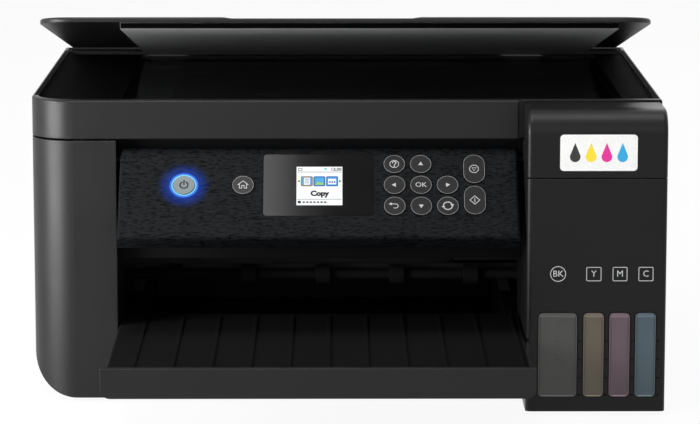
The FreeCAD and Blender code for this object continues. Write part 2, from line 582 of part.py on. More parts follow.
screw_holes = []
screws = []
for n, (x, height) in enumerate(SCREWS):
    screw_holes.append(rod(f"screw_hole_{n}", "Y", "screw_radius + running_gap",
                           (f"{COVER_REAR} - wall", f"{REAR} + wall"), x, height))
    screw_holes.append(rod(f"screw_seat_{n}", "Y", "screw_head + running_gap",
                           (f"{REAR} - screw_sink", f"{REAR} + wall"), x, height))
    head = rod(f"screw_head_{n}", "Y", "screw_head", (f"{REAR} - screw_sink", REAR), x, height)
    shank = rod(f"screw_shank_{n}", "Y", "screw_radius",
                (f"{REAR} - screw_length", f"{REAR} - screw_sink / 2"), x, height)
    screws.append(join(f"screw_{n}", head, shank))
node("rear_cover",
     cut("rear_cover_cut", rear_joined, lift_hole, slot, inlet_hole, usb_hole, waste_hole,
         *screw_holes))
node("case_screws", group("case_screws_group", *screws))

# Sockets, power supply, main board and waste ink box

def socket(name, sides, depth, low, high):
    """A socket's body with an open mouth at the rear."""
    body = block(name + "_block", sides, (f"{REAR} - {depth}", REAR), (low, high))
    mouth = block(name + "_mouth", (f"{sides[0]} + socket_wall", f"{sides[1]} - socket_wall"),
                  (f"{REAR} - socket_mouth", f"{REAR} + wall"),
                  (f"{low} + socket_wall", f"{high} - socket_wall"))
    return cut(name + "_cut", body, mouth)


contact_depth = (f"{REAR} - inlet_depth + socket_wall", f"{REAR} - 2 * socket_wall")
contacts = [rod(f"contact_{side}", "Y", "contact_radius", contact_depth,
                f"{LEFT} + inlet_place + {sign} * contact_pitch / 2", "inlet_low + inlet_height / 2")
            for side, sign in SIDES]
inlet_body = socket("inlet", inlet_sides, "inlet_depth", "inlet_low", "inlet_low + inlet_height")
node("power_inlet", join("power_inlet_join", inlet_body, *contacts))
tongue = block("tongue", (f"{usb_sides[0]} + tongue_margin", f"{usb_sides[1]} - tongue_margin"),
               (f"{REAR} - usb_depth + socket_wall", f"{REAR} - 2 * socket_wall"),
               ("usb_low + usb_height / 2 - tongue_height / 2",
                "usb_low + usb_height / 2 + tongue_height / 2"))
usb_body = socket("usb", usb_sides, "usb_depth", "usb_low", "usb_low + usb_height")
node("usb_port", join("usb_port_join", usb_body, tongue))
node("power_supply", block("power_supply_block", (f"{COLUMN} - supply_width", COLUMN),
                           (behind("supply_front"), behind("supply_front + supply_length")),
                           (FLOOR_TOP, f"{FLOOR_TOP} + supply_height")))
board_left = f"({LEFT} + wall + board_inset)"
node("main_board",
     block("main_board_block", (board_left, f"{board_left} + board_thickness"),
           (behind("board_front"), behind("board_front + board_length")), ("board_low", "board_high")))
node("waste_ink_box",
     block("waste_ink_block", waste_sides, (f"{REAR} - waste_depth", REAR),
           (waste_low, f"{waste_low} + waste_height")))

# Fascia behind the control panel
node("front_fascia",
     block("front_fascia_block", pan_sides,
           (behind("fascia_setback"), behind("fascia_setback + fascia_wall")),
           ("fascia_low", "side_top")))

# Output tray
lip_front = f"({FRONT} - tray_reach)"
tray_sides = ("0 - tray_left", "tray_right")
tray_plate = block("tray_plate", tray_sides,
                   (f"{lip_front} + lip_thickness / 2", f"{lip_front} + tray_length"),
                   ("tray_height", "tray_height + tray_floor"))
lip_box = block("lip_box", tray_sides, (lip_front, f"{lip_front} + lip_thickness"), ("lip_low", "lip_high"))
lip = rounded("lip", lip_box, "lip_corner", lambda edge: along(edge, "Y") and at(edge, z="lip_low"))
node("output_tray", join("output_tray_join", tray_plate, lip))

# Scanner: the frame with its skirt and glass, and the base that carries the sensor bar
scanner_rear = behind("scanner_depth")
scanner_box = block("scanner_box", (LEFT, RIGHT), (FRONT, scanner_rear), ("scanner_low", "scanner_top"))
scanner_round = rounded("scanner_round", scanner_box, "corner_radius",
                        lambda edge: along(edge, "Z") and at(edge, x=LEFT, y=FRONT))
scanner_soft = rounded("scanner_soft", scanner_round, "rim_radius",
                       lambda edge: edge.BoundBox.ZMin > value("scanner_top") - value("rim_radius"))
plate_low = "(scanner_top - frame_plate)"
room_box = block("room_box", (f"{LEFT} + wall", f"{RIGHT} - wall"),
                 (f"{FRONT} + scanner_notch + wall", f"{scanner_rear} - wall"),
                 ("scanner_low - wall", plate_low))
room = rounded("room", room_box, "corner_radius - wall",
               lambda edge: along(edge, "Z") and at(edge, x=f"{LEFT} + wall",
                                                    y=f"{FRONT} + scanner_notch + wall"))
notch = block("notch", ("panel_right", f"{RIGHT} + wall"), (f"{FRONT} - wall", f"{FRONT} + scanner_notch"),
              ("scanner_low - wall", "scanner_top + wall"))
bed_box = block("bed_box", (f"{LEFT} + bed_rim", f"{RIGHT} - bed_rim"),
                (f"{FRONT} + scanner_notch + bed_rim", behind("scanner_depth - bed_rear_margin")),
                ("scanner_top - bed_sink", "scanner_top + wall"))
bed = rounded("bed", bed_box, "corner_radius - scanner_notch - bed_rim",
              lambda edge: along(edge, "Z") and at(edge, x=f"{LEFT} + bed_rim",
                                                   y=f"{FRONT} + scanner_notch + bed_rim"))
glass_low = "(scanner_top - glass_sink - glass_thickness)"
glass_sides = ("0 - glass_left", "glass_right")
glass_depth = (behind("glass_front"), behind("glass_front + glass_length"))


def framed(name, sides, depth, margin, low, high):
    """A box with its sides and depth grown by a margin."""
    return block(name, (f"{sides[0]} - ({margin})", f"{sides[1]} + {margin}"),
                 (f"{depth[0]} - ({margin})", f"{depth[1]} + {margin}"), (low, high))


rebate = framed("rebate", glass_sides, glass_depth, "glass_gap", glass_low, "scanner_top + wall")
light_hole = framed("light_hole", glass_sides, glass_depth, "(0 - glass_ledge)", f"{plate_low} - wall",
                    "scanner_top")
scanner_shell = cut("scanner_shell", scanner_soft, room, bed, notch, rebate, light_hole)
hinge_blocks = []
for side, sign in SIDES:
    middle = f"({sign} * lid_notch_place)"
    span = (f"{middle} - hinge_width / 2", f"{middle} + hinge_width / 2")
    stem = block(f"hinge_stem_{side}", span, (f"{LID_PIN} - hinge_radius", f"{LID_PIN} + hinge_radius"),
                 ("scanner_top - overlap", "lid_pin_height"))
    head = rod(f"hinge_head_{side}", "X", "hinge_radius", span, LID_PIN, "lid_pin_height")
    hinge_blocks += [stem, head]
lid_pin_hole = rod("lid_pin_hole", "X", "lid_pin_radius + running_gap", (LEFT, RIGHT), LID_PIN,
                   "lid_pin_height")
lugs = []
for side, sign in SIDES:
    middle = f"({sign} * lift_place)"
    reach = "(lift_width / 2 + lug_gap + lug_width)"
    inner = "(lift_width / 2 + lug_gap)"
    lugs.append(rod(f"lift_pin_{side}", "X", "lift_pin_radius",
                    (f"{middle} - {reach}", f"{middle} + {reach}"), LIFT_PIN, "lift_pin_height"))
    for end, span in (("low", (f"{middle} - {reach}", f"{middle} - {inner}")),
                      ("high", (f"{middle} + {inner}", f"{middle} + {reach}"))):
        lugs.append(rod(f"lug_{side}_{end}", "X", "lift_radius", span, LIFT_PIN, "lift_pin_height"))
        lugs.append(block(f"lug_neck_{side}_{end}", span, (f"{scanner_rear} - wall / 2", LIFT_PIN),
                          ("lift_pin_height - lift_radius", "lift_pin_height + lift_radius")))
scanner_joined = join("scanner_frame_join", scanner_shell, *hinge_blocks, *lugs)
node("scanner_frame", cut("scanner_frame_cut", scanner_joined, lid_pin_hole))
node("scan_glass", plate("scan_glass_body", "XY", glass_sides, glass_depth, glass_low, "glass_thickness"))
tub_box = block("tub_box", (f"{LEFT} + wall + casing_gap", f"{RIGHT} - wall - casing_gap"),
                (f"{FRONT} + scanner_notch + wall + casing_gap", f"{scanner_rear} - wall - casing_gap"),
                ("scanner_low", "scanner_low + floor"))
tub = rounded("tub", tub_box, "corner_radius - wall - casing_gap",
              lambda edge: along(edge, "Z") and at(edge, x=f"{LEFT} + wall + casing_gap",
                                                   y=f"{FRONT} + scanner_notch + wall + casing_gap"))
rail_depth = behind("glass_front + glass_length / 2")
rail_height = "(cis_low + cis_rail_rise)"
posts = [block(f"cis_post_{side}", (f"{x} - cis_post_width / 2", f"{x} + cis_post_width / 2"),
               (f"{rail_depth} - cis_post_depth / 2", f"{rail_depth} + cis_post_depth / 2"),
               ("scanner_low + floor / 2", f"{rail_height} + cis_rail_radius + overlap"))
         for side, x in (("left", "(0 - glass_left - cis_start)"), ("right", "(glass_right + cis_start)"))]
cis_rail = rod("cis_rail", "X", "cis_rail_radius",
               ("0 - glass_left - cis_start", "glass_right + cis_start"), rail_depth, rail_height)
node("scanner_base", join("scanner_base_join", tub, *posts, cis_rail))
cis_box = block("cis_box", ("glass_ledge - glass_left", "glass_ledge - glass_left + cis_width"),
                (f"{glass_depth[0]} + cis_end_gap", f"{glass_depth[1]} - cis_end_gap"),
                ("cis_low", "cis_low + cis_height"))
cis_bore = rod("cis_bore", "X", "cis_rail_radius + running_gap",
               ("0 - glass_left - 2 * cis_start", "glass_right"), rail_depth, rail_height)
node("sensor_bar", cut("sensor_bar_cut", cis_box, cis_bore))

# Document lid and its pressing mat, drawn about the lid's hinge pin
lid_low = "(scanner_top + lid_gap - lid_pin_height)"
lid_high = f"({lid_low} + lid_thickness)"
lid_sides = ("0 - lid_width / 2", "lid_width / 2")
lid_front_edge = "(lid_front - lid_pin_depth)"
lid_box = block("lid_box", lid_sides, (lid_front_edge, "lid_tail"), (lid_low, lid_high))
lid_round = rounded("lid_round", lid_box, "lid_corner_radius",
                    lambda edge: along(edge, "Z") and at(edge, y=lid_front_edge))
lid_soft = rounded("lid_soft", lid_round, "lid_skin - soft_margin",
                   lambda edge: abs(edge.BoundBox.ZMin - value(lid_high)) < 0.01)
mat_sides = ("0 - mat_left", "mat_right")
mat_depth = ("mat_front - lid_pin_depth", "0 - mat_back")
lid_room = framed("lid_room", mat_sides, mat_depth, "glass_gap", f"{lid_low} - wall",
                  f"{lid_high} - lid_skin")
recess = plate("lid_recess", "XZ", ("recess_place - recess_width / 2", "recess_place + recess_width / 2"),
               (f"{lid_high} - recess_drop", f"{lid_high} + recess_drop"),
               f"0 - {lid_front_edge} - recess_depth", "recess_depth + wall", flare="recess_flare")
lid_cuts = [lid_room, recess]
lid_pins = []
for side, sign in SIDES:
    middle = f"({sign} * lid_notch_place)"
    span = (f"{middle} - lid_notch_width / 2", f"{middle} + lid_notch_width / 2")
    lid_cuts.append(block(f"lid_notch_{side}", span, ("0 - lid_notch_depth", "lid_tail + wall"),
                          (f"{lid_low} - wall", f"{lid_high} + wall")))
    lid_pins.append(rod(f"lid_pin_{side}", "X", "lid_pin_radius",
                        (f"{span[0]} - pin_boss_width", f"{span[1]} + pin_boss_width"), "0", "0"))
    for end, boss in (("low", (f"{span[0]} - pin_boss_width", span[0])),
                      ("high", (span[1], f"{span[1]} + pin_boss_width"))):
        lid_pins.append(block(f"pin_boss_{side}_{end}", boss, ("0 - pin_boss_reach", "lid_tail"),
                              (lid_low, "lid_pin_radius")))
lid = node("document_lid", join("document_lid_join", cut("lid_cut", lid_soft, *lid_cuts), *lid_pins))
hang(lid, LID_PIN, "lid_pin_height", "lid_angle")
mat_low = "(scanner_top - bed_sink + mat_gap - lid_pin_height)"
mat = node("lid_mat",
           plate("lid_mat_body", "XY", mat_sides, mat_depth, mat_low,
                 f"{lid_high} - lid_skin - {mat_low}"))
hang(mat, LID_PIN, "lid_pin_height", "lid_angle")

# Control panel with its screen window and buttons, drawn about the panel's hinge pin
PANEL_FACE = "(0 - panel_thickness / 2)"
panel_box = block("panel_box", ("0 - panel_left", "panel_right"), (PANEL_FACE, "panel_thickness / 2"),
                  ("panel_above_pin - panel_height", "panel_above_pin"))
panel_soft = rounded("panel_soft", panel_box, "panel_edge_radius",
                     lambda edge: along(edge, "X") or (along(edge, "Z") and at(edge, y=PANEL_FACE)))
lens_sides = ("lens_left", "lens_left + lens_width")
lens_height = ("panel_above_pin - lens_drop - lens_height", "panel_above_pin - lens_drop")
lens_pocket = plate("lens_pocket", "XZ", (f"{lens_sides[0]} - lens_gap", f"{lens_sides[1]} + lens_gap"),
                    (f"{lens_height[0]} - lens_gap", f"{lens_height[1]} + lens_gap"),
                    "panel_thickness / 2 - lens_thickness", "2 * lens_thickness",
                    "lens_radius + lens_gap")
ROUND = {"power": ("power_place", "button_drop + button_row"),
         "home": ("home_place", "button_drop + button_row")}
GRID = [("help", 0, 0), ("up", 1, 0), ("left", 0, 1), ("ok", 1, 1), ("right", 2, 1), ("back", 0, 2),
        ("down", 1, 2), ("reset", 2, 2)]
for name, column, row in GRID:
    ROUND[name] = (f"button_first + {column} * button_column", f"button_drop + {row} * button_row")
OBLONG = {"stop": "oblong_drop", "start": "oblong_drop + oblong_pitch"}
wells = []
buttons = []
for name, (across, drop) in ROUND.items():
    height = f"panel_above_pin - ({drop})"
    wells.append(disc(f"well_{name}", "XZ", across, height, "button_radius + button_gap",
                      "panel_thickness / 2 - button_well", "2 * button_well"))
    buttons.append(node(f"button_{name}",
                        disc(f"button_body_{name}", "XZ", across, height, "button_radius",
                             "panel_thickness / 2 - button_depth", "button_depth + button_proud")))
for name, drop in OBLONG.items():
    sides = ("oblong_place - button_radius", "oblong_place + button_radius")
    heights = (f"panel_above_pin - ({drop}) - oblong_length / 2",
               f"panel_above_pin - ({drop}) + oblong_length / 2")
    wells.append(plate(f"well_{name}", "XZ", (f"{sides[0]} - button_gap", f"{sides[1]} + button_gap"),
                       (f"{heights[0]} - button_gap", f"{heights[1]} + button_gap"),
                       "panel_thickness / 2 - button_well", "2 * button_well",
                       "oblong_round + button_gap"))
    buttons.append(node(f"button_{name}",
                        plate(f"button_body_{name}", "XZ", sides, heights,
                              "panel_thickness / 2 - button_depth", "button_depth + button_proud",
                              "oblong_round")))
panel_pins = [rod("panel_pin_left", "X", "panel_pin_radius",
                  ("0 - panel_left - panel_pin_reach", "overlap - panel_left"), "0", "0"),
              rod("panel_pin_right", "X", "panel_pin_radius",
                  ("panel_right - overlap", "panel_right + panel_pin_reach"), "0", "0")]
panel = node("control_panel",
             join("control_panel_join", cut("panel_cut", panel_soft, lens_pocket, *wells), *panel_pins))
lens = node("screen_window",
            plate("screen_window_body", "XZ", lens_sides, lens_height,
                  "panel_thickness / 2 - lens_thickness", "lens_thickness", "lens_radius"))
for piece in (panel, lens, *buttons):
    hang(piece, PANEL_PIN, "panel_pin_height", "panel_tilt")

# Steel frame of the printing mechanism, with the carriage's rail and the platen
frame_depth = (behind("frame_front"), behind("frame_back"))
frame_sides = ("frame_left", "frame_right")
left_plate = block("left_plate", ("frame_left", "frame_left + frame_sheet"), frame_depth,
                   (FLOOR_TOP, "frame_high"))
right_plate = block("right_plate", ("frame_right - frame_sheet", "frame_right"), frame_depth,
                    (FLOOR_TOP, "frame_high"))
back_plate = block("back_plate", frame_sides,
                   (behind("frame_back - frame_sheet"), behind("frame_back")),
                   ("frame_low", "frame_high"))
through = ("frame_left - clearance", "frame_right + clearance")
rail_y = behind("rail_depth")
frame_cuts = [rod("rail_hole", "X", "rail_radius", through, rail_y, "rail_height"),
              rod("feed_hole", "X", "shaft_radius + running_gap", through, behind("feed_depth"),
                  "feed_height"),
              rod("exit_hole", "X", "shaft_radius + running_gap", through, behind("exit_depth"),
                  "feed_height")]
PULLEYS = {"drive": "(frame_left + pulley_inset)", "idler": "(frame_right - pulley_inset)"}
for name, x in PULLEYS.items():
    frame_cuts.append(rod(f"{name}_hole", "Y", "pulley_shaft + running_gap",
                          (behind("frame_back - clearance"), behind("frame_back + clearance")), x,
                          "belt_height"))
node("mech_frame",
     cut("mech_frame_cut", join("mech_frame_join", left_plate, right_plate, back_plate), *frame_cuts))
node("carriage_rail", rod("carriage_rail_rod", "X", "rail_radius", frame_sides, rail_y, "rail_height"))
between = ("frame_left + frame_sheet", "frame_right - frame_sheet")
node("platen",
     block("platen_block", between, (behind("platen_front"), behind("platen_front + platen_depth")),
           ("platen_low", "platen_top")))

# Carriage, print head, belt and pulleys
carriage_sides = ("carriage_park - carriage_width / 2", "carriage_park + carriage_width / 2")
carriage_box = block("carriage_box", carriage_sides,
                     (behind("carriage_front"), behind("carriage_back")),
                     ("carriage_low", "carriage_high"))
carriage_soft = rounded("carriage_soft", carriage_box, "panel_edge_radius", lambda edge: along(edge, "Z"))
run_top = "(belt_height - pulley_radius - running_gap)"
clamp = block("clamp", ("carriage_park - clamp_width / 2", "carriage_park + clamp_width / 2"),
              (behind("carriage_back - overlap"), behind("belt_front + belt_width")),
              (f"{run_top} + clamp_gap", f"{run_top} + clamp_gap + clamp_height"))
rail_bore = rod("rail_bore", "X", "rail_radius + running_gap", through, rail_y, "rail_height")
node("carriage", cut("carriage_cut", join("carriage_join", carriage_soft, clamp), rail_bore))
node("print_head",
     block("print_head_block", ("carriage_park - head_width / 2", "carriage_park + head_width / 2"),
           (behind("head_front"), behind("head_front + head_depth")),
           ("carriage_low - head_height", "carriage_low")))


def loop(name, axis, radius, span, first, second, level):
    """A filled outline round two wheels on one level."""
    ends = [rod(f"{name}_{n}", axis, radius, span, spot, level) for n, spot in enumerate((first, second))]
    run = {"X": (span, (first, second)), "Y": ((first, second), span)}[axis]
    middle = block(f"{name}_run", *run, (f"{level} - ({radius})", f"{level} + {radius}"))
    return join(name, *ends, middle)


def belt(name, axis, radius, span, first, second, level):
    """A belt round two equal wheels."""
    inner = f"{radius} + running_gap"
    outer = loop(name + "_outer", axis, f"{inner} + belt_thickness", span, first, second, level)
    return cut(name, outer, loop(name + "_inner", axis, inner, span, first, second, level))


belt_span = (behind("belt_front"), behind("belt_front + belt_width"))
node("timing_belt",
     belt("timing_belt_cut", "Y", "pulley_radius", belt_span, PULLEYS["drive"], PULLEYS["idler"],
          "belt_height"))
motor_y = (behind("frame_back"), behind("frame_back + motor_length"))
for name, reach in (("drive", "frame_back + motor_shaft_length"), ("idler", "frame_back + overlap")):
    wheel = rod(f"{name}_wheel", "Y", "pulley_radius", belt_span, PULLEYS[name], "belt_height")
    shaft = rod(f"{name}_shaft", "Y", "pulley_shaft", (belt_span[0], behind(reach)), PULLEYS[name],
                "belt_height")
    node(f"{name}_pulley", join(f"{name}_pulley_join", wheel, shaft))
can = rod("carriage_can", "Y", "motor_radius", motor_y, PULLEYS["drive"], "belt_height")
can_bore = rod("carriage_can_bore", "Y", "pulley_shaft + running_gap",
               (behind("frame_back - overlap"), behind("frame_back + motor_shaft_length + overlap")),
               PULLEYS["drive"], "belt_height")
node("carriage_motor", cut("carriage_motor_cut", can, can_bore))

# Feed roller, exit roller, the belt between them and their motor
drive_span = ("frame_right + drive_place", "frame_right + drive_place + drive_width")
roller_span = (f"{between[0]} + roller_end_gap", f"{between[1]} - roller_end_gap")


def shaft_with(name, depth, start, *extras):
    """A shaft along X with its belt wheel at the right, joined to its rollers."""
    axle = rod(f"{name}_axle", "X", "shaft_radius", (start, drive_span[1]), depth, "feed_height")
    wheel = rod(f"{name}_wheel", "X", "drive_radius", drive_span, depth, "feed_height")
    return join(f"{name}_join", axle, wheel, *extras)


feed_y = behind("feed_depth")
exit_y = behind("exit_depth")
feed_drum = rod("feed_drum", "X", "feed_radius", roller_span, feed_y, "feed_height")
node("feed_roller", shaft_with("feed_roller", feed_y, "frame_left - motor_shaft_length", feed_drum))
rings = []
for n in range(-2, 3):
    middle = f"((frame_left + frame_right) / 2 + {n} * exit_ring_pitch)"
    rings.append(rod(f"exit_ring_{n + 2}", "X", "exit_ring_radius",
                     (f"{middle} - exit_ring_width / 2", f"{middle} + exit_ring_width / 2"), exit_y,
                     "feed_height"))
node("exit_roller", shaft_with("exit_roller", exit_y, "frame_left", *rings))
node("feed_belt", belt("feed_belt_cut", "X", "drive_radius", drive_span, exit_y, feed_y, "feed_height"))
feed_can = rod("feed_can", "X", "motor_radius", ("frame_left - motor_length", "frame_left"), feed_y,
               "feed_height")
feed_bore = rod("feed_bore", "X", "shaft_radius + running_gap",
                ("frame_left - motor_shaft_length - overlap", "frame_left + overlap"), feed_y,
                "feed_height")
node("feed_motor", cut("feed_motor_cut", feed_can, feed_bore))

# Rear paper feeder with its pickup roller, edge guides and sliding paper support
feeder_sides = ("0 - feeder_width / 2", "feeder_width / 2")
feeder_rear = behind("feeder_back + feeder_wall")
feeder_top = "(side_top - wall)"
feeder_back_plate = block("feeder_back_plate", feeder_sides, (behind("feeder_back"), feeder_rear),
                          ("ledge_low", feeder_top))
ledge = block("ledge", feeder_sides, (behind("pickup_depth + pickup_radius"), feeder_rear),
              ("ledge_low", "ledge_high"))
cheek_sides = {"left": (feeder_sides[0], f"{feeder_sides[0]} + feeder_wall"),
               "right": (f"{feeder_sides[1]} - feeder_wall", feeder_sides[1])}
cheeks = [block(f"cheek_{side}", across, (behind("feeder_front"), feeder_rear),
                ("ledge_low", "side_top - 2 * wall")) for side, across in cheek_sides.items()]
pickup_y = behind("pickup_depth")
pickup_hole = rod("pickup_hole", "X", "shaft_radius + running_gap", (LEFT, RIGHT), pickup_y,
                  "pickup_height")
node("rear_feeder",
     cut("rear_feeder_cut", join("rear_feeder_join", feeder_back_plate, ledge, *cheeks), pickup_hole))
pickup_tyre = rod("pickup_tyre", "X", "pickup_radius", ("0 - pickup_width / 2", "pickup_width / 2"),
                  pickup_y, "pickup_height")
pickup_axle = rod("pickup_axle", "X", "shaft_radius", feeder_sides, pickup_y, "pickup_height")
node("pickup_roller", join("pickup_roller_join", pickup_tyre, pickup_axle))
stand = "(ledge_high + support_gap)"
support_y = (behind("feeder_back - support_gap - support_thickness"), behind("feeder_back - support_gap"))
node("paper_support",
     plate("paper_support_body", "XY", ("0 - support_width / 2", "support_width / 2"), support_y, stand,
           f"side_top - {stand}"))
guide_y = (behind("guide_front"), behind("guide_front + guide_depth"))
for side, sides in (("left", ("0 - guide_spread - guide_thickness", "0 - guide_spread")),
                    ("right", ("guide_spread", "guide_spread + guide_thickness"))):
    node(f"edge_guide_{side}",
         plate(f"edge_guide_body_{side}", "XY", sides, guide_y, stand, f"guide_top - {stand}"))

# Check every object, then write one file for each piece
doc.recompute()
for item in doc.Objects:
    if "Invalid" in item.State or "Error" in item.State:
        raise RuntimeError(f"{item.Name} did not build")
os.makedirs("parts", exist_ok=True)
for label, item in parts.items():
    if item.Shape.isNull() or not item.Shape.isValid():
        raise RuntimeError(f"{label} has no valid shape")
    item.Shape.exportStep(f"parts/{label}.step")
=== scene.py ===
import math
import bmesh
import bpy
from mathutils import Matrix, Vector
from mathutils.geometry import delaunay_2d_cdt


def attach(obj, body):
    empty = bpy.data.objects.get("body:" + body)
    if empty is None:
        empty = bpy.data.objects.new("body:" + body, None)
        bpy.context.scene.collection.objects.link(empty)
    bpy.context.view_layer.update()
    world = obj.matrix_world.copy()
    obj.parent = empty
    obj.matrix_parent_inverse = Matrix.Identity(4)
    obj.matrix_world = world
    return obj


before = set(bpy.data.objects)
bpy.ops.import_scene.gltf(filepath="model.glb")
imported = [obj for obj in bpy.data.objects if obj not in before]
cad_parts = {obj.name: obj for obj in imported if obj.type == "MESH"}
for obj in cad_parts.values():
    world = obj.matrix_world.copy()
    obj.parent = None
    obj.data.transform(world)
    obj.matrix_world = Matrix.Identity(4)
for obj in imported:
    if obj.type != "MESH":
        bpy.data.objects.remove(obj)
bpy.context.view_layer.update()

scene = bpy.context.scene
MM = 0.001

# Places from the CAD, in millimetres; the panel and the lid go by their pin and their tilt at rest
PANEL_PIN = (0, -63.5, 146.3)
PANEL_TILT = math.radians(42)
PANEL_TOP = 5
PANEL_FACE = -6
KEY_TOP = 0.7
TANK_FACE = -107.5
WINDOW_FACE = -108.1
REAR_FACE = 239.5
TRAY_FLOOR = 47
BED_FLOOR = 179.9
SCANNER_TOP = 182.5
SHIELD_FACE = 200.4
LID_PIN = (0, 195.5, 186)
LID_TILT = math.radians(9.8)
MAT_FRONT = -255
BOARD_FACE = -174.4

# Bump heights in metres
GRAIN_HEIGHT = 0.00006
CREASE_HEIGHT = 0.0004
SMOKE_HEIGHT = 0.0001
FILM_HEIGHT = 0.00003
BRUSH_HEIGHT = 0.00004

# How outlines join: the triangles inside them are kept, and points this near in millimetres become one
INSIDE_OUTLINES = 1
JOIN_DISTANCE = 0.0001

# Heights of thin films above the face they lie on, and the size of a key's arrow, in millimetres
FILM_LIFT, LOW_FILM_LIFT = 0.05, 0.04
ARROW_RADIUS = 1.6


# Materials
def material(name, color, rough=0.5, metal=0.0, **sockets):
    """A new Principled material; other sockets are set by name, with _ for a space."""
    mat = bpy.data.materials.new(name)
    mat.use_nodes = True
    shader = mat.node_tree.nodes["Principled BSDF"]
    shader.inputs["Base Color"].default_value = (*color, 1)
    shader.inputs["Roughness"].default_value = rough
    shader.inputs["Metallic"].default_value = metal
    for socket, amount in sockets.items():
        shader.inputs[socket.replace("_", " ")].default_value = amount
    return mat


def feed(mat, source, socket):
    """Links a node's output to a socket of the material's shader."""
    mat.node_tree.links.new(source, mat.node_tree.nodes["Principled BSDF"].inputs[socket])


def mapped(mat, scale=(1, 1, 1), location=(0, 0, 0)):
    """The object's own coordinates in metres, scaled and then shifted."""
    tree = mat.node_tree
    place = tree.nodes.new("ShaderNodeTexCoord")
    mapping = tree.nodes.new("ShaderNodeMapping")
    mapping.inputs["Scale"].default_value = scale
    mapping.inputs["Location"].default_value = location
    tree.links.new(place.outputs["Object"], mapping.inputs["Vector"])
    return mapping.outputs["Vector"]


def noise(mat, scale, detail=4.0, stretch=(1, 1, 1)):
    """A noise texture; stretch is the scale along each axis."""
    texture = mat.node_tree.nodes.new("ShaderNodeTexNoise")
    texture.inputs["Scale"].default_value = scale
    texture.inputs["Detail"].default_value = detail
    mat.node_tree.links.new(mapped(mat, stretch), texture.inputs["Vector"])
    return texture.outputs["Fac"]


def ramp(mat, source, low, high, start=0.3, end=0.7):
    """Spreads a texture's grey between two colours or two numbers."""
    node = mat.node_tree.nodes.new("ShaderNodeValToRGB")
    for stop, shade, position in zip(node.color_ramp.elements, (low, high), (start, end)):
        stop.color = (*shade, 1) if isinstance(shade, tuple) else (shade, shade, shade, 1)
        stop.position = position
    mat.node_tree.links.new(source, node.inputs["Fac"])
    return node.outputs["Color"]


def bump(mat, source, strength, distance):
    """Adds a bump from a texture, after one that is there already."""
    tree = mat.node_tree
    node = tree.nodes.new("ShaderNodeBump")
    node.inputs["Strength"].default_value = strength
    node.inputs["Distance"].default_value = distance
    for link in tree.nodes["Principled BSDF"].inputs["Normal"].links:
        tree.links.new(link.from_socket, node.inputs["Normal"])
    tree.links.new(source, node.inputs["Height"])
    feed(mat, node.outputs["Normal"], "Normal")


def soften(mat, radius):
    """Rounds the look of sharp edges, as a mould's edge radius does."""
    edge = mat.node_tree.nodes.new("ShaderNodeBevel")
    edge.samples = 4
    edge.inputs["Radius"].default_value = radius
    feed(mat, edge.outputs["Normal"], "Normal")


def shaded(color, amount):
    """A colour made darker or lighter."""
    return tuple(min(1.0, c * amount) for c in color)


def moulded(name, color, rough, spread=0.035, grain=2600, depth=0.25, tint=0.06, edge=0.0009, **sockets):
    """Moulded plastic: fine spark-eroded grain, slight cloudiness of colour and uneven gloss."""
    mat = material(name, color, rough, **sockets)
    feed(mat, ramp(mat, noise(mat, 18, 3), shaded(color, 1 - tint), shaded(color, 1 + tint)), "Base Color")
    feed(mat, ramp(mat, noise(mat, 60, 6), rough - spread, rough + spread), "Roughness")
    soften(mat, edge)
    bump(mat, noise(mat, grain, 2), depth, GRAIN_HEIGHT)
    return mat


def polished(name, color, low, high, **sockets):
    """A smooth glossy sheet with a faint uneven haze."""
    mat = material(name, color, low, **sockets)
    feed(mat, ramp(mat, noise(mat, 40, 5), low, high), "Roughness")
    return mat


def panel_plastic(name):
    """The control panel's charcoal plastic: short level creases, like fine leather, with painted shade
    darkening the folds.
    """
    mat = moulded(name, PANEL_COLOR, 0.46, depth=0.12, Specular_IOR_Level=0.027)
    creases = noise(mat, 900, 3, (0.32, 1, 1))
    crease_shade, skin = shaded(PANEL_COLOR, 0.12), shaded(PANEL_COLOR, 1.1)
    # The creases' dark in the base colour is painted shade in the folds
    feed(mat, ramp(mat, creases, crease_shade, skin, 0.36, 0.54), "Base Color")
    bump(mat, creases, 0.6, CREASE_HEIGHT)
    return mat


def smoked(name, color):
    """A tank's smoked plastic with ink behind it, clouded in tall streaks."""
    mat = material(name, color, 0.24, Specular_IOR_Level=0.3)
    streaks = noise(mat, 30, 3, (1, 1, 0.3))
    feed(mat, ramp(mat, streaks, shaded(color, 0.82), shaded(color, 1.18)), "Base Color")
    bump(mat, noise(mat, 350, 2), 0.08, SMOKE_HEIGHT)
    return mat


def print_and_painted_light(name, color, rough=0.5, **sockets):
    """Printed ink or a thin moulded line, and also the films of painted highlight and painted shade: a
    colour with a slightly uneven film.
    """
    mat = material(name, color, rough, **sockets)
    feed(mat, ramp(mat, noise(mat, 900, 3), shaded(color, 0.93), shaded(color, 1.05)), "Base Color")
    bump(mat, noise(mat, 1500, 2), 0.1, FILM_HEIGHT)
    return mat


def lit(name, color, strength=1.0):
    """A part of the screen or of a lamp that gives light, a little uneven as a backlight is."""
    mat = material(name, shaded(color, 0.05), 0.35, Emission_Strength=strength, Specular_IOR_Level=0.1)
    feed(mat, ramp(mat, noise(mat, 300, 2), shaded(color, 0.96), shaded(color, 1.02)), "Emission Color")
    return mat


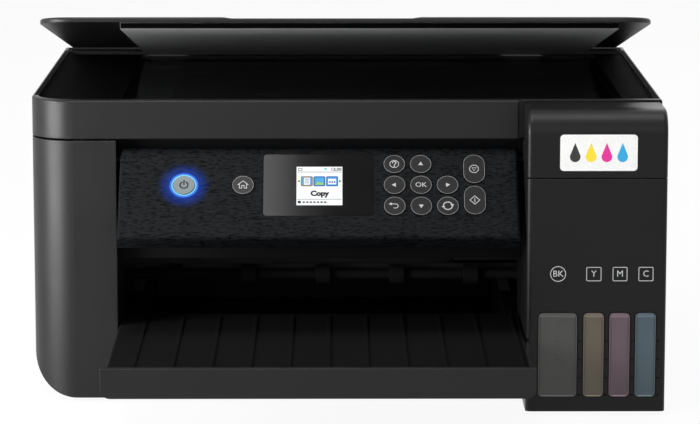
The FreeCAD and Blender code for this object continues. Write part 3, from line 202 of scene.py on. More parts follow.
def glowing(mat, centre, reach, color):
    """Adds painted light that fades away from a centre, given as emission on a skin that is no lamp: a
    painted glow, as a nearby lamp would cast.
    """
    tree = mat.node_tree
    fade = tree.nodes.new("ShaderNodeTexGradient")
    fade.gradient_type = "SPHERICAL"
    where = mapped(mat, (1 / reach,) * 3, tuple(-c / reach for c in centre))
    tree.links.new(where, fade.inputs["Vector"])
    glow = ramp(mat, fade.outputs["Fac"], (0.0, 0.0, 0.0), color, 0.04, 0.80)
    glow.node.color_ramp.interpolation = "EASE"
    feed(mat, glow, "Emission Color")
    tree.nodes["Principled BSDF"].inputs["Emission Strength"].default_value = 1.0


PANEL_COLOR = (0.0070, 0.0080, 0.0091)
case = moulded("case_black", (0.0055, 0.0055, 0.0057), 0.40, Specular_IOR_Level=0.28)
case_dark = moulded("case_inner", (0.0030, 0.0030, 0.0032), 0.55, Specular_IOR_Level=0.08)
tank_skin = moulded("tank_black", (0.0062, 0.0062, 0.0064), 0.34, Specular_IOR_Level=0.18)
panel_skin = panel_plastic("panel_charcoal")
key_skin = moulded("key_grey", (0.0085, 0.0086, 0.0087), 0.40, grain=3200, Specular_IOR_Level=0.09)
home_skin = moulded("key_mid_grey", (0.018, 0.018, 0.018), 0.42, grain=3200, Specular_IOR_Level=0.12)
power_skin = moulded("key_pale", (0.13, 0.155, 0.16), 0.40, grain=3200, Specular_IOR_Level=0.2)
mat_skin = moulded("mat_grey", (0.20, 0.205, 0.205), 0.75, grain=900, depth=0.5)
cap_skin = moulded("cap_rubber", (0.03, 0.03, 0.03), 0.6)
inner_skin = moulded("inner_black", (0.010, 0.010, 0.011), 0.5, Specular_IOR_Level=0.25)
waste_skin = moulded("waste_grey", (0.030, 0.031, 0.032), 0.55)
rubber = moulded("rubber_grey", (0.012, 0.012, 0.013), 0.8, grain=1500, depth=0.6, Specular_IOR_Level=0.1)
board_skin = moulded("board_green", (0.02, 0.11, 0.05), 0.35, spread=0.08, grain=400, depth=0.4)
chip_skin = moulded("chip_black", (0.012, 0.012, 0.013), 0.45)
plug_skin = moulded("plug_cream", (0.62, 0.60, 0.53), 0.45)
lens = polished("lens_gloss", (0.0008, 0.0008, 0.0009), 0.09, 0.12, Specular_IOR_Level=0.085)
glass = polished("scan_glass", (0.0035, 0.0036, 0.0038), 0.03, 0.08, Alpha=0.45, Specular_IOR_Level=0.3)
steel = material("zinc_steel", (0.48, 0.49, 0.50), 0.36, metal=1.0)
feed(steel, ramp(steel, noise(steel, 120, 5), (0.40, 0.41, 0.42), (0.56, 0.57, 0.58)), "Base Color")
bump(steel, noise(steel, 900, 3, (0.05, 1, 1)), 0.15, BRUSH_HEIGHT)
INKS = {"black": (0.054, 0.054, 0.052), "yellow": (0.112, 0.093, 0.070),
        "magenta": (0.118, 0.080, 0.097), "cyan": (0.062, 0.090, 0.110)}
ink_skins = {name: smoked(f"ink_{name}", color) for name, color in INKS.items()}
pale = print_and_painted_light("print_pale", (0.55, 0.56, 0.56))
key_print = print_and_painted_light("print_grey", (0.40, 0.40, 0.395))
tray_skin = moulded("tray_matte", (0.0075, 0.0075, 0.0077), 0.85, Specular_IOR_Level=0.0)
# Liner: black plastic made darker and duller than the case, painted shade in the bed's recess, on its ledges
# and on the mat's front edge
liner_and_shade = moulded("black_liner_and_painted_shade", (0.0012, 0.0012, 0.0013), 0.8, Specular_IOR_Level=0.02)
# Key rims: a lighter grey ring round each key's top, a painted highlight on its edge
rim = print_and_painted_light("key_rim_highlight", (0.11, 0.112, 0.11), 0.4)
# Near-black: the dark level lines, and painted shade in the screws' cross slots
groove = print_and_painted_light("dark_lines_and_slot_shade", (0.0006, 0.0006, 0.0006), 0.9, Specular_IOR_Level=0.0)
label_white = print_and_painted_light("label_white", (0.88, 0.88, 0.87), 0.32)
screen_white = lit("screen_white", (0.93, 0.96, 0.98))
screen_blue = lit("screen_blue", (0.012, 0.14, 0.46))
screen_sky = lit("screen_sky", (0.07, 0.38, 0.72))
screen_cyan = lit("screen_cyan", (0.05, 0.62, 0.66))
screen_green = lit("screen_green", (0.32, 0.60, 0.10))
screen_sand = lit("screen_sand", (0.30, 0.17, 0.09))
screen_ink = lit("screen_ink", (0.006, 0.006, 0.007))
ring_inner = lit("ring_inner", (0.16, 0.62, 0.98))
ring_outer = lit("ring_outer", (0.01, 0.14, 0.78))


def paint(mat, *nodes):
    """Gives CAD nodes a material."""
    for node in nodes:
        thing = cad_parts[node]
        thing.data.materials.clear()
        thing.data.materials.append(mat)


paint(case, "left_cover", "rear_cover", "scanner_frame", "document_lid", "output_tray", "paper_support")
paint(case_dark, "base_pan", "front_fascia", "scanner_base")
paint(tank_skin, "right_cover", "tank_cover")
paint(panel_skin, "control_panel")
paint(lens, "screen_window")
paint(glass, "scan_glass")
paint(mat_skin, "lid_mat")
paint(inner_skin, "platen", "carriage", "print_head", "rear_feeder", "edge_guide_left", "edge_guide_right",
      "sensor_bar", "power_supply", "power_inlet", "usb_port", "drive_pulley", "idler_pulley")
paint(rubber, "feet", "feed_belt", "timing_belt", "pickup_roller", "exit_roller")
paint(steel, "case_screws", "mech_frame", "carriage_rail", "carriage_motor", "feed_motor", "feed_roller")
paint(board_skin, "main_board")
paint(waste_skin, "waste_ink_box")
for name, skin in ink_skins.items():
    paint(skin, f"ink_tank_{name}")
    paint(cap_skin, f"tank_cap_{name}")
GREY_KEYS = ["help", "up", "left", "ok", "right", "back", "down", "reset", "stop", "start"]
paint(key_skin, *[f"button_{key}" for key in GREY_KEYS])
paint(home_skin, "button_home")
paint(power_skin, "button_power")


# Flat shapes, drawn in two dimensions in millimetres and laid on a face
def tilted(pin, tilt, point):
    """A point measured from a hinge pin with its piece upright, turned by the tilt."""
    return (Vector(pin) + Matrix.Rotation(-tilt, 4, "X") @ Vector(point)) * MM


def on_panel(x, drop, lift=0.0):
    """A point of the control panel's face, by its X and its distance down from the panel's top."""
    return tilted(PANEL_PIN, PANEL_TILT, (x, PANEL_FACE - lift, PANEL_TOP - drop))


def on_key(x, drop, lift=0.0):
    """A point of a key's top, placed as on the panel."""
    return on_panel(x, drop, KEY_TOP + lift)


def on_mat_edge(x, z, lift=0.0):
    """A point of the mat's front edge, by its X and its height in the lid's own frame."""
    return tilted(LID_PIN, LID_TILT, (x, MAT_FRONT - lift, z))


def on_board(y, z, lift=0.0):
    """A point of the main board, which stands along the left side."""
    return Vector((BOARD_FACE + lift, y, z)) * MM


def upright(face, outward):
    """Puts points on an upright face across the part; outward is -1 where it looks to the front."""
    return lambda x, z, lift=0.0: Vector((x, face + outward * lift, z)) * MM


def level(height):
    """Puts points on a level face."""
    return lambda x, y, lift=0.0: Vector((x, y, height + lift)) * MM


on_tank = upright(TANK_FACE, -1)
on_window = upright(WINDOW_FACE, -1)
on_rear = upright(REAR_FACE, 1)
on_shield = upright(SHIELD_FACE, 1)
on_tray = level(TRAY_FLOOR)
on_bed = level(BED_FLOOR)
on_rim = level(SCANNER_TOP)


def leftward(shape):
    """The outline's points in the order that keeps its inside on the left."""
    area = sum(a[0] * b[1] - a[1] * b[0] for a, b in zip(shape, shape[1:] + shape[:1]))
    return shape if area > 0 else shape[::-1]


def flat_piece(name, shapes, where, mat, body, low=0.0, high=0.08):
    """One closed mesh of flat shapes between two lifts above a face, joined where they touch or overlap."""
    shapes = [leftward(shape) for shape in shapes]
    corners = [Vector(point) for shape in shapes for point in shape]
    loops = []
    for shape in shapes:
        first = sum(map(len, loops))
        loops.append(list(range(first, first + len(shape))))
    laid = delaunay_2d_cdt(corners, [], loops, INSIDE_OUTLINES, JOIN_DISTANCE)
    points, _, triangles, _, _, sources = laid
    triangles = [triangle for triangle, source in zip(triangles, sources) if source]
    sides = {(t[n - 1], t[n]) for t in triangles for n in range(3)}
    bm = bmesh.new()
    top = [bm.verts.new(where(*point, high)) for point in points]
    bottom = [bm.verts.new(where(*point, low)) for point in points]
    for triangle in triangles:
        bm.faces.new([top[i] for i in triangle])
        bm.faces.new([bottom[i] for i in reversed(triangle)])
    for a, b in sorted(sides):
        if (b, a) not in sides:
            bm.faces.new((top[a], bottom[a], bottom[b], top[b]))
    bmesh.ops.delete(bm, geom=[vert for vert in bm.verts if not vert.link_faces], context="VERTS")
    mesh = bpy.data.meshes.new(name)
    bmesh.ops.recalc_face_normals(bm, faces=bm.faces)
    bm.to_mesh(mesh)
    bm.free()
    mesh.materials.append(mat)
    piece = bpy.data.objects.new(name, mesh)
    scene.collection.objects.link(piece)
    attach(piece, body)


def rectangle(u0, v0, u1, v1):
    """A rectangle between two corners."""
    return [(u0, v0), (u1, v0), (u1, v1), (u0, v1)]


def arc(u, v, radius, start, end, steps=14):
    """Points on part of a circle, by angles in degrees."""
    angles = [math.radians(start + (end - start) * n / steps) for n in range(steps + 1)]
    return [(u + radius * math.cos(a), v + radius * math.sin(a)) for a in angles]


def soft_rectangle(u0, v0, u1, v1, radius):
    """A rectangle with round corners."""
    u0, v0, u1, v1 = u0 + radius, v0 + radius, u1 - radius, v1 - radius
    corners = ((u1, v1, 0), (u0, v1, 90), (u0, v0, 180), (u1, v0, 270))
    return [point for u, v, start in corners for point in arc(u, v, radius, start, start + 90, 6)]


def polygon(u, v, radius, steps, start=0.0):
    """A regular outline; with many steps it is a disc."""
    return arc(u, v, radius, start, start + 360 * (steps - 1) / steps, steps - 1)


def band(outer, inner):
    """The strip between two outlines that have the same number of points."""
    count = len(outer)
    return [[outer[n], outer[(n + 1) % count], inner[(n + 1) % count], inner[n]] for n in range(count)]


def ring(u, v, outer, inner, steps=48, start=0.0):
    """A flat ring between two radii; with few steps it has corners."""
    return band(polygon(u, v, outer, steps, start), polygon(u, v, inner, steps, start))


def border(u0, v0, u1, v1, radius, width):
    """A thin round-cornered border inside a rectangle."""
    inner = soft_rectangle(u0 + width, v0 + width, u1 - width, v1 - width, max(radius - width, 0.05))
    return band(soft_rectangle(u0, v0, u1, v1, radius), inner)


def stroke(points, width):
    """Thin bars along a broken line."""
    shapes = []
    for (u0, v0), (u1, v1) in zip(points, points[1:]):
        length = math.hypot(u1 - u0, v1 - v0)
        du = (u1 - u0) / length * width / 2
        dv = (v1 - v0) / length * width / 2
        shapes.append([(u0 - du + dv, v0 - dv - du), (u1 + du + dv, v1 + dv - du),
                       (u1 + du - dv, v1 + dv + du), (u0 - du - dv, v0 - dv + du)])
    return shapes


def moved(shapes, u, v, flip=1):
    """Shapes drawn about the origin, put at a place; flip turns v over."""
    return [[(u + a, v + flip * b) for a, b in shape] for shape in shapes]


def arrow(angle, size=1.0):
    """A filled triangle that points along the angle."""
    return [polygon(0, 0, ARROW_RADIUS * size, 3, angle)]


def words(text, size, weight=0.0):
    """The outlines of generic lettering as flat faces about the origin; weight makes them bolder."""
    curve = bpy.data.curves.new("letters", "FONT")
    curve.body = text
    curve.size = size
    curve.align_x = "CENTER"
    curve.align_y = "CENTER"
    curve.resolution_u = 3
    curve.offset = weight
    thing = bpy.data.objects.new("letters", curve)
    scene.collection.objects.link(thing)
    graph = bpy.context.evaluated_depsgraph_get()
    mesh = bpy.data.meshes.new_from_object(thing.evaluated_get(graph))
    bpy.data.objects.remove(thing)
    shapes = [[mesh.vertices[i].co.to_2d()[:] for i in face.vertices] for face in mesh.polygons]
    bpy.data.meshes.remove(mesh)
    return shapes


# Control panel: key symbols, rims of painted highlight round the keys, and the lit ring with its halo of
# painted glow
KEYS = {"power": (-95.3, 27.3), "home": (-60.5, 27.3), "help": (28.7, 12.6), "up": (44.3, 12.6),
        "left": (28.7, 27.3), "ok": (44.3, 27.3), "right": (59.9, 27.3), "back": (28.7, 42.0),
        "down": (44.3, 42.0), "reset": (59.9, 42.0), "stop": (75.8, 16.1), "start": (75.8, 38.0)}
OBLONG_KEYS = ("stop", "start")
OBLONG_HALF_WIDTH, OBLONG_HALF_LENGTH, OBLONG_CORNER = 6.3, 9.9, 6.2
RIM_OUTER, RIM_INNER, RIM_WIDTH = 6.25, 5.95, 0.3
SYMBOL_LIFT = 0.06
THIN, BOLD, BROAD, HEAVY = 0.4, 0.5, 0.55, 0.75
roof = [(-3.0, 0.2), (0, 2.8), (3.0, 0.2)]
walls = [(-2.1, 0.7), (-2.1, -2.3), (-0.7, -2.3), (-0.7, -0.4),
         (0.7, -0.4), (0.7, -2.3), (2.1, -2.3), (2.1, 0.7)]
query = arc(0, 0.8, 1.0, 180, -70) + [(0, -0.5), (0, -0.8)]
hook = [(-2.2, 1.3), (0.6, 1.3)] + arc(0.6, -0.1, 1.4, 90, -90) + [(-0.6, -1.5)]
SYMBOLS = {
    "power": stroke(arc(0, 0, 2.3, 125, 415), HEAVY) + stroke([(0, 0.4), (0, 3.1)], HEAVY),
    "home": stroke(roof, THIN) + stroke(walls, THIN),
    "help": ring(0, 0, 2.9, 2.5, 8, 22.5) + stroke(query, BOLD) + [polygon(0, -1.7, 0.4, 12)],
    "up": arrow(90),
    "left": arrow(180),
    "ok": words("OK", 4.6),
    "right": arrow(0),
    "back": stroke(hook, THIN) + moved(arrow(180, 0.7), -2.3, 1.3),
    "down": arrow(270),
    "reset": stroke(arc(0, 0, 2.6, 25, 160), BROAD) + stroke(arc(0, 0, 2.6, 205, 340), BROAD)
             + moved(arrow(270, 0.75), 2.6, 0.4) + moved(arrow(90, 0.75), -2.6, -0.4),
    "stop": ring(0, 0, 3.0, 2.55, 8, 22.5) + ring(0, 0.1, 1.7, 1.2, 3, 270),
    "start": ring(0, 0, 3.2, 2.6, 4) + stroke([(0, -1.2), (0, 1.2)], BOLD),
}
for name, (x, drop) in KEYS.items():
    body = f"key_{name}"
    ink = screen_ink if name == "power" else key_print
    symbol = moved(SYMBOLS[name], x, drop, -1)
    flat_piece(f"symbol_{name}", symbol, on_key, ink, body, 0.0, SYMBOL_LIFT)
    if name in OBLONG_KEYS:
        edge = border(x - OBLONG_HALF_WIDTH, drop - OBLONG_HALF_LENGTH, x + OBLONG_HALF_WIDTH,
                      drop + OBLONG_HALF_LENGTH, OBLONG_CORNER, RIM_WIDTH)
    else:
        edge = ring(x, drop, RIM_OUTER, RIM_INNER)
    # The rim is a painted highlight on the key's edge
    flat_piece(f"key_rim_{name}", edge, on_key, rim, body, 0.0, FILM_LIFT)
GLOW_REACH, RING_STEPS = 0.0175, 64
x, drop = KEYS["power"]
# The halo is a painted glow on the panel's plastic round the power ring
halo_skin = panel_plastic("panel_halo")
glowing(halo_skin, on_panel(x, drop), GLOW_REACH, (0.0, 0.045, 0.42))
POWER_RINGS = (("power_ring_inner", 7.4, 6.6, ring_inner, 0.30),
               ("power_ring_outer", 8.5, 7.4, ring_outer, 0.25),
               ("power_halo", 17.6, 8.5, halo_skin, 0.02))
for name, outer, inner, skin, lift in POWER_RINGS:
    flat_piece(name, ring(x, drop, outer, inner, RING_STEPS), on_panel, skin, "panel", 0.0, lift)

# Screen: a page with a header, three tiles, a caption and a footer
SCREEN_LEFT, SCREEN_TOP, SCREEN_SIZE = -29.0, 14.1, 27.0
LAYER = 0.03
RULE_LEFT, RULE_RIGHT, RULE_TOPS, RULE_WIDTH = 0.4, 26.6, (3.6, 22.7), 0.3
TILES = (2.5, 9.9, 17.4)
TILE_WIDTH, TILE_TOP, TILE_MIDDLE, TILE_BASE, TILE_CORNER = 7.1, 6.7, 10.2, 13.8, 0.9


def on_screen(u, v, lift=0.0):
    """A point of the screen, from its top left corner."""
    return on_panel(SCREEN_LEFT + u, SCREEN_TOP + v, lift)


def screen_piece(name, shapes, mat, layer):
    """Shapes on one layer of the screen's page."""
    low = LAYER * layer
    flat_piece(f"screen_{name}", shapes, on_screen, mat, "panel", low, low + LAYER)


def tile(left):
    """One of the page's tiles."""
    return soft_rectangle(left, TILE_TOP, left + TILE_WIDTH, TILE_BASE, TILE_CORNER)


document, picture, folder = TILES
rules = [rectangle(RULE_LEFT, top, RULE_RIGHT, top + RULE_WIDTH) for top in RULE_TOPS]
skies = [rectangle(left + 0.8, 7.6, left + 6.3, 12.9) for left in TILES]
sheets = [rectangle(document + 1.9, 7.8, document + 5.4, 12.7),
          rectangle(folder + 1.2, 8.6, folder + 5.9, 12.4)]
hill = [(picture + u, v) for u, v in ((1.0, 12.8), (2.9, 10.2), (4.2, 11.6), (5.0, 10.8), (6.2, 12.8))]
rows = [rectangle(document + 2.4, v, document + 4.9, v + 0.5) for v in (8.6, 9.9, 11.2)]
rows += [rectangle(folder + 1.8 + 1.4 * n, 10.2, folder + 2.7 + 1.4 * n, 11.6) for n in range(3)]
side_arrows = moved(arrow(180, 0.6), 1.4, TILE_MIDDLE) + moved(arrow(0, 0.6), 25.6, TILE_MIDDLE)
foot_bars = [rectangle(3.6 + 2.1 * n, 24.4, 5.0 + 2.1 * n, 25.4) for n in range(7)]
screen_piece("page", [rectangle(0, 0, SCREEN_SIZE, SCREEN_SIZE)], screen_white, 0)
screen_piece("rules", rules, screen_ink, 1)
screen_piece("tray_mark", border(0.9, 1.0, 3.4, 2.8, 0.5, 0.35), screen_ink, 1)
screen_piece("signal", [polygon(17.1, 1.6, 1.2, 3, 90)], screen_cyan, 1)
screen_piece("digits", moved(words("12:30", 2.9, 0.1), 23.3, 1.9, -1), screen_ink, 1)
screen_piece("tile_left", [tile(document)], screen_sand, 1)
screen_piece("tiles", [tile(picture), tile(folder)], screen_blue, 1)
screen_piece("tile_skies", skies, screen_sky, 2)
screen_piece("tile_sheets", sheets, screen_white, 3)
screen_piece("tile_hill", [hill], screen_green, 3)
screen_piece("tile_rows", rows, screen_blue, 4)
screen_piece("arrows", side_arrows, screen_ink, 1)
screen_piece("caption", moved(words("Copy", 4.8, 0.3), 13.6, 18.9, -1), screen_ink, 1)
screen_piece("foot_dot", [polygon(1.7, 24.8, 1.0, 24)], screen_ink, 1)
screen_piece("foot_bars", foot_bars, screen_ink, 1)

# Ink tank unit: the bare label with its ink drops, the ink marks, the windows' rims, glints and side strips
# of painted light and shade, and the level lines
LABEL_BOX, LABEL_CORNER, LABEL_LIFT = (124.5, 146.1, 169.5, 167.4), 2.2, 0.15
DROP_FIRST, DROP_PITCH, DROP_RADIUS, DROP_HEIGHT, DROP_TIP = 133.2, 9.2, 3.1, 154.4, 162.6
DROPS = {"black": (0.02, 0.02, 0.02), "yellow": (0.92, 0.70, 0.03), "magenta": (0.78, 0.02, 0.30),
         "cyan": (0.02, 0.38, 0.72)}
MARKS = {"BK": (119.4, 128.6), "Y": (140.5, 149.3), "M": (155.9, 164.5), "C": (171.0, 179.7)}
MARK_LOW, MARK_HIGH, MARK_MIDDLE, MARK_LETTERS = 80.9, 89.3, 85.2, 5.2
MARK_OUTER, MARK_INNER, MARK_CORNER, MARK_LINE = 4.6, 4.2, 0.8, 0.4
label = soft_rectangle(*LABEL_BOX, LABEL_CORNER)
flat_piece("tank_label", [label], on_tank, label_white, "tank_lid", 0.0, LABEL_LIFT)
for n, (name, color) in enumerate(DROPS.items()):
    middle = DROP_FIRST + DROP_PITCH * n
    outline = arc(middle, DROP_HEIGHT, DROP_RADIUS, -215, 35, 20) + [(middle, DROP_TIP)]
    skin = print_and_painted_light(f"drop_{name}", color, 0.4)
    flat_piece(f"label_drop_{name}", [outline], on_tank, skin, "tank_lid",
               LABEL_LIFT, LABEL_LIFT + FILM_LIFT)
for text, (left, right) in MARKS.items():
    middle = (left + right) / 2
    if text == "BK":
        edge = ring(middle, MARK_MIDDLE, MARK_OUTER, MARK_INNER)
    else:
        edge = border(left, MARK_LOW, right, MARK_HIGH, MARK_CORNER, MARK_LINE)
    letters = moved(words(text, MARK_LETTERS), middle, MARK_MIDDLE)
    flat_piece(f"mark_{text}_edge", edge, on_tank, pale, "chassis")
    flat_piece(f"mark_{text}_word", letters, on_tank, pale, "chassis")
WINDOWS = {"black": (112.8, 135.3), "yellow": (139.2, 151.0), "magenta": (154.4, 166.2),
           "cyan": (169.6, 181.4)}
WINDOW_LOW, WINDOW_HIGH, WINDOW_CORNER, WINDOW_EDGE = 12, 62, 2.6, 0.35
GLINT_INSET, GLINT_LOW, GLINT_HIGH, GLINT_CORNER = 1.6, 12.4, 12.9, 0.24
SHADE_OUTER, SHADE_INNER, SHADE_LOW, SHADE_HIGH = 0.4, 1.3, 15, 59
TOP_INSET, TOP_LOW, TOP_HIGH, TOP_CORNER = 0.9, 59.4, 61.2, 0.8
LEVELS = (12.9, 23.2, 34.4, 45.2)
LINE_NEAR, LINE_FAR, LINE_HALF = 0.7, 2.5, 0.3
BLACK_LINE_LEFT, BLACK_LINE_RIGHT, BLACK_LINE_HALF = 122.4, 125.6, 0.2
for name, (left, right) in WINDOWS.items():
    # Painted light on each window's ink colour: a lighter copy on the rim and on the band at the top as
    # painted highlight, a brighter glint along the bottom as painted highlight, and darker strips down the
    # sides as painted shade
    glint_skin = print_and_painted_light(f"window_painted_glint_{name}", shaded(INKS[name], 3.0), 0.3)
    shade_skin = print_and_painted_light(f"window_shade_{name}", shaded(INKS[name], 0.62), 0.3, Specular_IOR_Level=0.3)
    highlight_skin = print_and_painted_light(f"window_top_highlight_{name}", shaded(INKS[name], 1.35), 0.3)
    edge = border(left, WINDOW_LOW, right, WINDOW_HIGH, WINDOW_CORNER, WINDOW_EDGE)
    glint = soft_rectangle(left + GLINT_INSET, GLINT_LOW, right - GLINT_INSET, GLINT_HIGH, GLINT_CORNER)
    shades = [rectangle(left + SHADE_OUTER, SHADE_LOW, left + SHADE_INNER, SHADE_HIGH),
              rectangle(right - SHADE_INNER, SHADE_LOW, right - SHADE_OUTER, SHADE_HIGH)]
    top = soft_rectangle(left + TOP_INSET, TOP_LOW, right - TOP_INSET, TOP_HIGH, TOP_CORNER)
    lines = [rectangle(right + LINE_NEAR, z - LINE_HALF, right + LINE_FAR, z + LINE_HALF) for z in LEVELS]
    flat_piece(f"window_rim_{name}", edge, on_window, highlight_skin, "chassis")
    flat_piece(f"window_glint_{name}", [glint], on_window, glint_skin, "chassis")
    flat_piece(f"window_shade_{name}", shades, on_window, shade_skin, "chassis", 0.0, LOW_FILM_LIFT)
    flat_piece(f"window_top_highlight_{name}", [top], on_window, highlight_skin, "chassis", 0.0, FILM_LIFT)
    flat_piece(f"level_lines_{name}", lines, on_tank, groove, "chassis", 0.0, FILM_LIFT)
faint = print_and_painted_light("level_faint", (0.026, 0.026, 0.026), 0.5, Specular_IOR_Level=0.2)
black_lines = [rectangle(BLACK_LINE_LEFT, z - BLACK_LINE_HALF, BLACK_LINE_RIGHT, z + BLACK_LINE_HALF)
               for z in LEVELS[1:]]
flat_piece("black_levels", black_lines, on_window, faint, "chassis", 0.0, FILM_LIFT)

# Scanner bed's black liner and the black front edge of the lid's mat, darker and duller than the case as
# painted shade, and dark shields closing the gaps behind the lid's hinges as painted shade
BED_LEFT, BED_RIGHT, BED_FRONT, BED_BACK = -183.3, 183.3, -62.3, 186.3
BED_CORNER_BACK, BED_CORNER_RIGHT = -43, -164
GLASS_LEFT, GLASS_RIGHT = -134.3, 166.4
LEDGE_FRONT, LEDGE_BACK, HINGE_LEDGE_BACK = 186.7, 205, 192
LEDGE_SPANS = ((-185, -128.6), (-107.4, 107.4), (128.6, 185))
HINGE_LEDGES, HINGE_LEDGE_WIDTH = (-128.6, 107.4), 21.2
LEFT_RIM, RIGHT_RIM = (-186.2, BED_CORNER_BACK, -183.6, 187), (183.6, -62, 186.2, 187)
MAT_EDGE = (-133.4, -5.65, 161.9, -2.4)
SHIELD_LEFTS, SHIELD_WIDTH, SHIELD_TOP, SHIELD_DEPTH = (-131.5, 104.5), 27, 186.6, 1.4
left_floor = [(BED_LEFT, BED_CORNER_BACK), (BED_CORNER_RIGHT, BED_FRONT), (GLASS_LEFT, BED_FRONT),
              (GLASS_LEFT, BED_BACK), (BED_LEFT, BED_BACK)]
right_floor = rectangle(GLASS_RIGHT, BED_FRONT, BED_RIGHT, BED_BACK)
ledges = [rectangle(left, LEDGE_FRONT, right, LEDGE_BACK) for left, right in LEDGE_SPANS]
ledges += [rectangle(left, LEDGE_FRONT, left + HINGE_LEDGE_WIDTH, HINGE_LEDGE_BACK) for left in HINGE_LEDGES]
rims = [rectangle(*LEFT_RIM), rectangle(*RIGHT_RIM)]
# The shields are dark pieces that close the gaps behind the hinges: painted shade where the background would
# show through
shields = [rectangle(left, SCANNER_TOP, left + SHIELD_WIDTH, SHIELD_TOP) for left in SHIELD_LEFTS]
flat_piece("bed_floor", [left_floor, right_floor], on_bed, liner_and_shade, "scanner_unit", 0.0, FILM_LIFT)
flat_piece("bed_ledges", ledges + rims, on_rim, liner_and_shade, "scanner_unit", 0.0, LOW_FILM_LIFT)
flat_piece("hinge_gap_shade", shields, on_shield, case_dark, "scanner_unit", 0.0, SHIELD_DEPTH)
flat_piece("mat_edge", [rectangle(*MAT_EDGE)], on_mat_edge, liner_and_shade, "lid", 0.0, FILM_LIFT)

# Output tray's matte floor and ribs
FLOOR_BOX = (-134, -236, 103, -34)
RIB_PLACES = range(-120, 101, 22)
RIB_FRONT, RIB_BACK, RIB_HALF_WIDTH, RIB_CORNER, RIB_LIFT = -222, -42, 1.2, 1.1, 0.5
ribs = [soft_rectangle(x - RIB_HALF_WIDTH, RIB_FRONT, x + RIB_HALF_WIDTH, RIB_BACK, RIB_CORNER)
        for x in RIB_PLACES]
flat_piece("tray_floor", [rectangle(*FLOOR_BOX)], on_tray, tray_skin, "tray", 0.0, LOW_FILM_LIFT)
flat_piece("tray_ribs", ribs, on_tray, tray_skin, "tray", LOW_FILM_LIFT, RIB_LIFT)

# Case screws' cross slots, almost flush with the heads, filled with near-black painted shade
SCREW_SIDE, SCREW_HEIGHTS = 180.5, (52, 140)
SLOT_REACH, SLOT_WIDTH, SLOT_SUNK, SLOT_LIFT = 1.9, 0.7, -0.2, 0.005
slots = []
for x in (-SCREW_SIDE, SCREW_SIDE):
    for z in SCREW_HEIGHTS:
        slots += stroke([(x - SLOT_REACH, z), (x + SLOT_REACH, z)], SLOT_WIDTH)
        slots += stroke([(x, z - SLOT_REACH), (x, z + SLOT_REACH)], SLOT_WIDTH)
flat_piece("screw_slots", slots, on_rear, groove, "chassis", SLOT_SUNK, SLOT_LIFT)

# Main board's chips and connectors, by depth and height
CHIP_HEIGHT, PLUG_HEIGHT = 2.2, 5.5
chips = [rectangle(138, 84, 164, 110), rectangle(176, 92, 190, 102), rectangle(176, 108, 190, 118),
         rectangle(116, 70, 126, 78), rectangle(202, 100, 212, 116)]
plugs = [rectangle(106, z, 112, z + 12) for z in (84, 100, 114)]
plugs += [rectangle(y, 122, y + 16, 127) for y in (124, 146, 168)]
flat_piece("board_chips", chips, on_board, chip_skin, "chassis", 0.0, CHIP_HEIGHT)
flat_piece("board_plugs", plugs, on_board, plug_skin, "chassis", 0.0, PLUG_HEIGHT)

# Camera at the photograph's place
CAMERA_PLACE = (-0.0053, -2.0088, 0.4364)
CAMERA_DOWN, CAMERA_TURN = 9.39, -0.232
LENS, SENSOR_WIDTH, NEAREST = 170.19, 36, 0.1
camera = bpy.data.objects.new("camera", bpy.data.cameras.new("camera"))
camera.data.lens = LENS
camera.data.sensor_width = SENSOR_WIDTH
camera.data.clip_start = NEAREST
camera.location = CAMERA_PLACE
camera.rotation_euler = (math.radians(90 - CAMERA_DOWN), 0, math.radians(CAMERA_TURN))
scene.collection.objects.link(camera)
scene.camera = camera

# Soft studio light: each lamp's place, the point it looks at, its width and height, and its power in watts
LAMPS = {
    "overhead": ((-0.23, -0.50, 1.65), (-0.23, -0.49, 0), 0.34, 0.66, 11),
    "overhead_right": ((0.40, -0.25, 1.65), (0.40, -0.24, 0), 0.34, 0.7, 4.5),
    "left_strip": ((-0.55, -0.33, 0.16), (-0.18, -0.06, 0.12), 0.33, 0.4, 6),
    "left_key": ((-1.45, -0.62, 0.60), (-0.17, -0.05, 0.1), 0.9, 0.9, 13),
    "front": ((0.6, -2.2, 1.2), (0, 0, 0.1), 1.0, 1.0, 3),
    "back": ((0.3, 1.5, 1.4), (0, 0, 0.15), 1.2, 1.2, 12),
}
for name, (place, target, wide, tall, power) in LAMPS.items():
    data = bpy.data.lights.new(name, "AREA")
    data.energy = power
    data.shape = "RECTANGLE"
    data.size = wide
    data.size_y = tall
    lamp = bpy.data.objects.new(name, data)
    lamp.location = place
    lamp.rotation_euler = (Vector(target) - Vector(place)).to_track_quat("-Z", "Y").to_euler()
    scene.collection.objects.link(lamp)


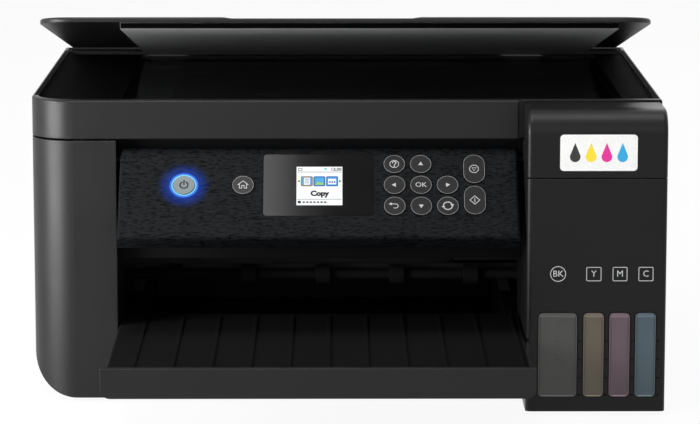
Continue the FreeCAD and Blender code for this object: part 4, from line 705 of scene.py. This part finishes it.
# White surroundings and a pale floor
def background_seen(tree):
    """One where a ray comes from the camera, a mirror or a glass, and nought elsewhere."""
    path = tree.nodes.new("ShaderNodeLightPath")
    total = path.outputs["Is Camera Ray"]
    for kind in ("Is Glossy Ray", "Is Transmission Ray"):
        either = tree.nodes.new("ShaderNodeMath")
        either.operation = "MAXIMUM"
        tree.links.new(total, either.inputs[0])
        tree.links.new(path.outputs[kind], either.inputs[1])
        total = either.outputs["Value"]
    return total


def spread(tree, source, low, high):
    """Turns nought to one into low to high."""
    node = tree.nodes.new("ShaderNodeMapRange")
    node.inputs["To Min"].default_value = low
    node.inputs["To Max"].default_value = high
    tree.links.new(source, node.inputs["Value"])
    return node.outputs["Result"]


WORLD_LIGHT = 0.2
FLOOR_WHITE = 0.93
FLOOR_REACH = 6
world = bpy.data.worlds.new("studio")
world.use_nodes = True
scene.world = world
tree = world.node_tree
sky = tree.nodes["Background"]
sky.inputs["Color"].default_value = (1, 1, 1, 1)
tree.links.new(spread(tree, background_seen(tree), WORLD_LIGHT, 1.0), sky.inputs["Strength"])

floor_mesh = bpy.data.meshes.new("floor")
floor_mesh.from_pydata([(-FLOOR_REACH, -FLOOR_REACH, 0), (FLOOR_REACH, -FLOOR_REACH, 0),
                        (FLOOR_REACH, FLOOR_REACH, 0), (-FLOOR_REACH, FLOOR_REACH, 0)], [], [(0, 1, 2, 3)])
floor = bpy.data.objects.new("floor", floor_mesh)
scene.collection.objects.link(floor)
floor_skin = material("floor_pale", (0.9, 0.9, 0.9), 0.8)
tree = floor_skin.node_tree
white = tree.nodes.new("ShaderNodeEmission")
blend = tree.nodes.new("ShaderNodeMixShader")
tree.links.new(spread(tree, background_seen(tree), 0.0, FLOOR_WHITE), blend.inputs["Fac"])
tree.links.new(tree.nodes["Principled BSDF"].outputs["BSDF"], blend.inputs[1])
tree.links.new(white.outputs["Emission"], blend.inputs[2])
tree.links.new(blend.outputs["Shader"], tree.nodes["Material Output"].inputs["Surface"])
floor_mesh.materials.append(floor_skin)

scene.view_settings.view_transform = "Standard"
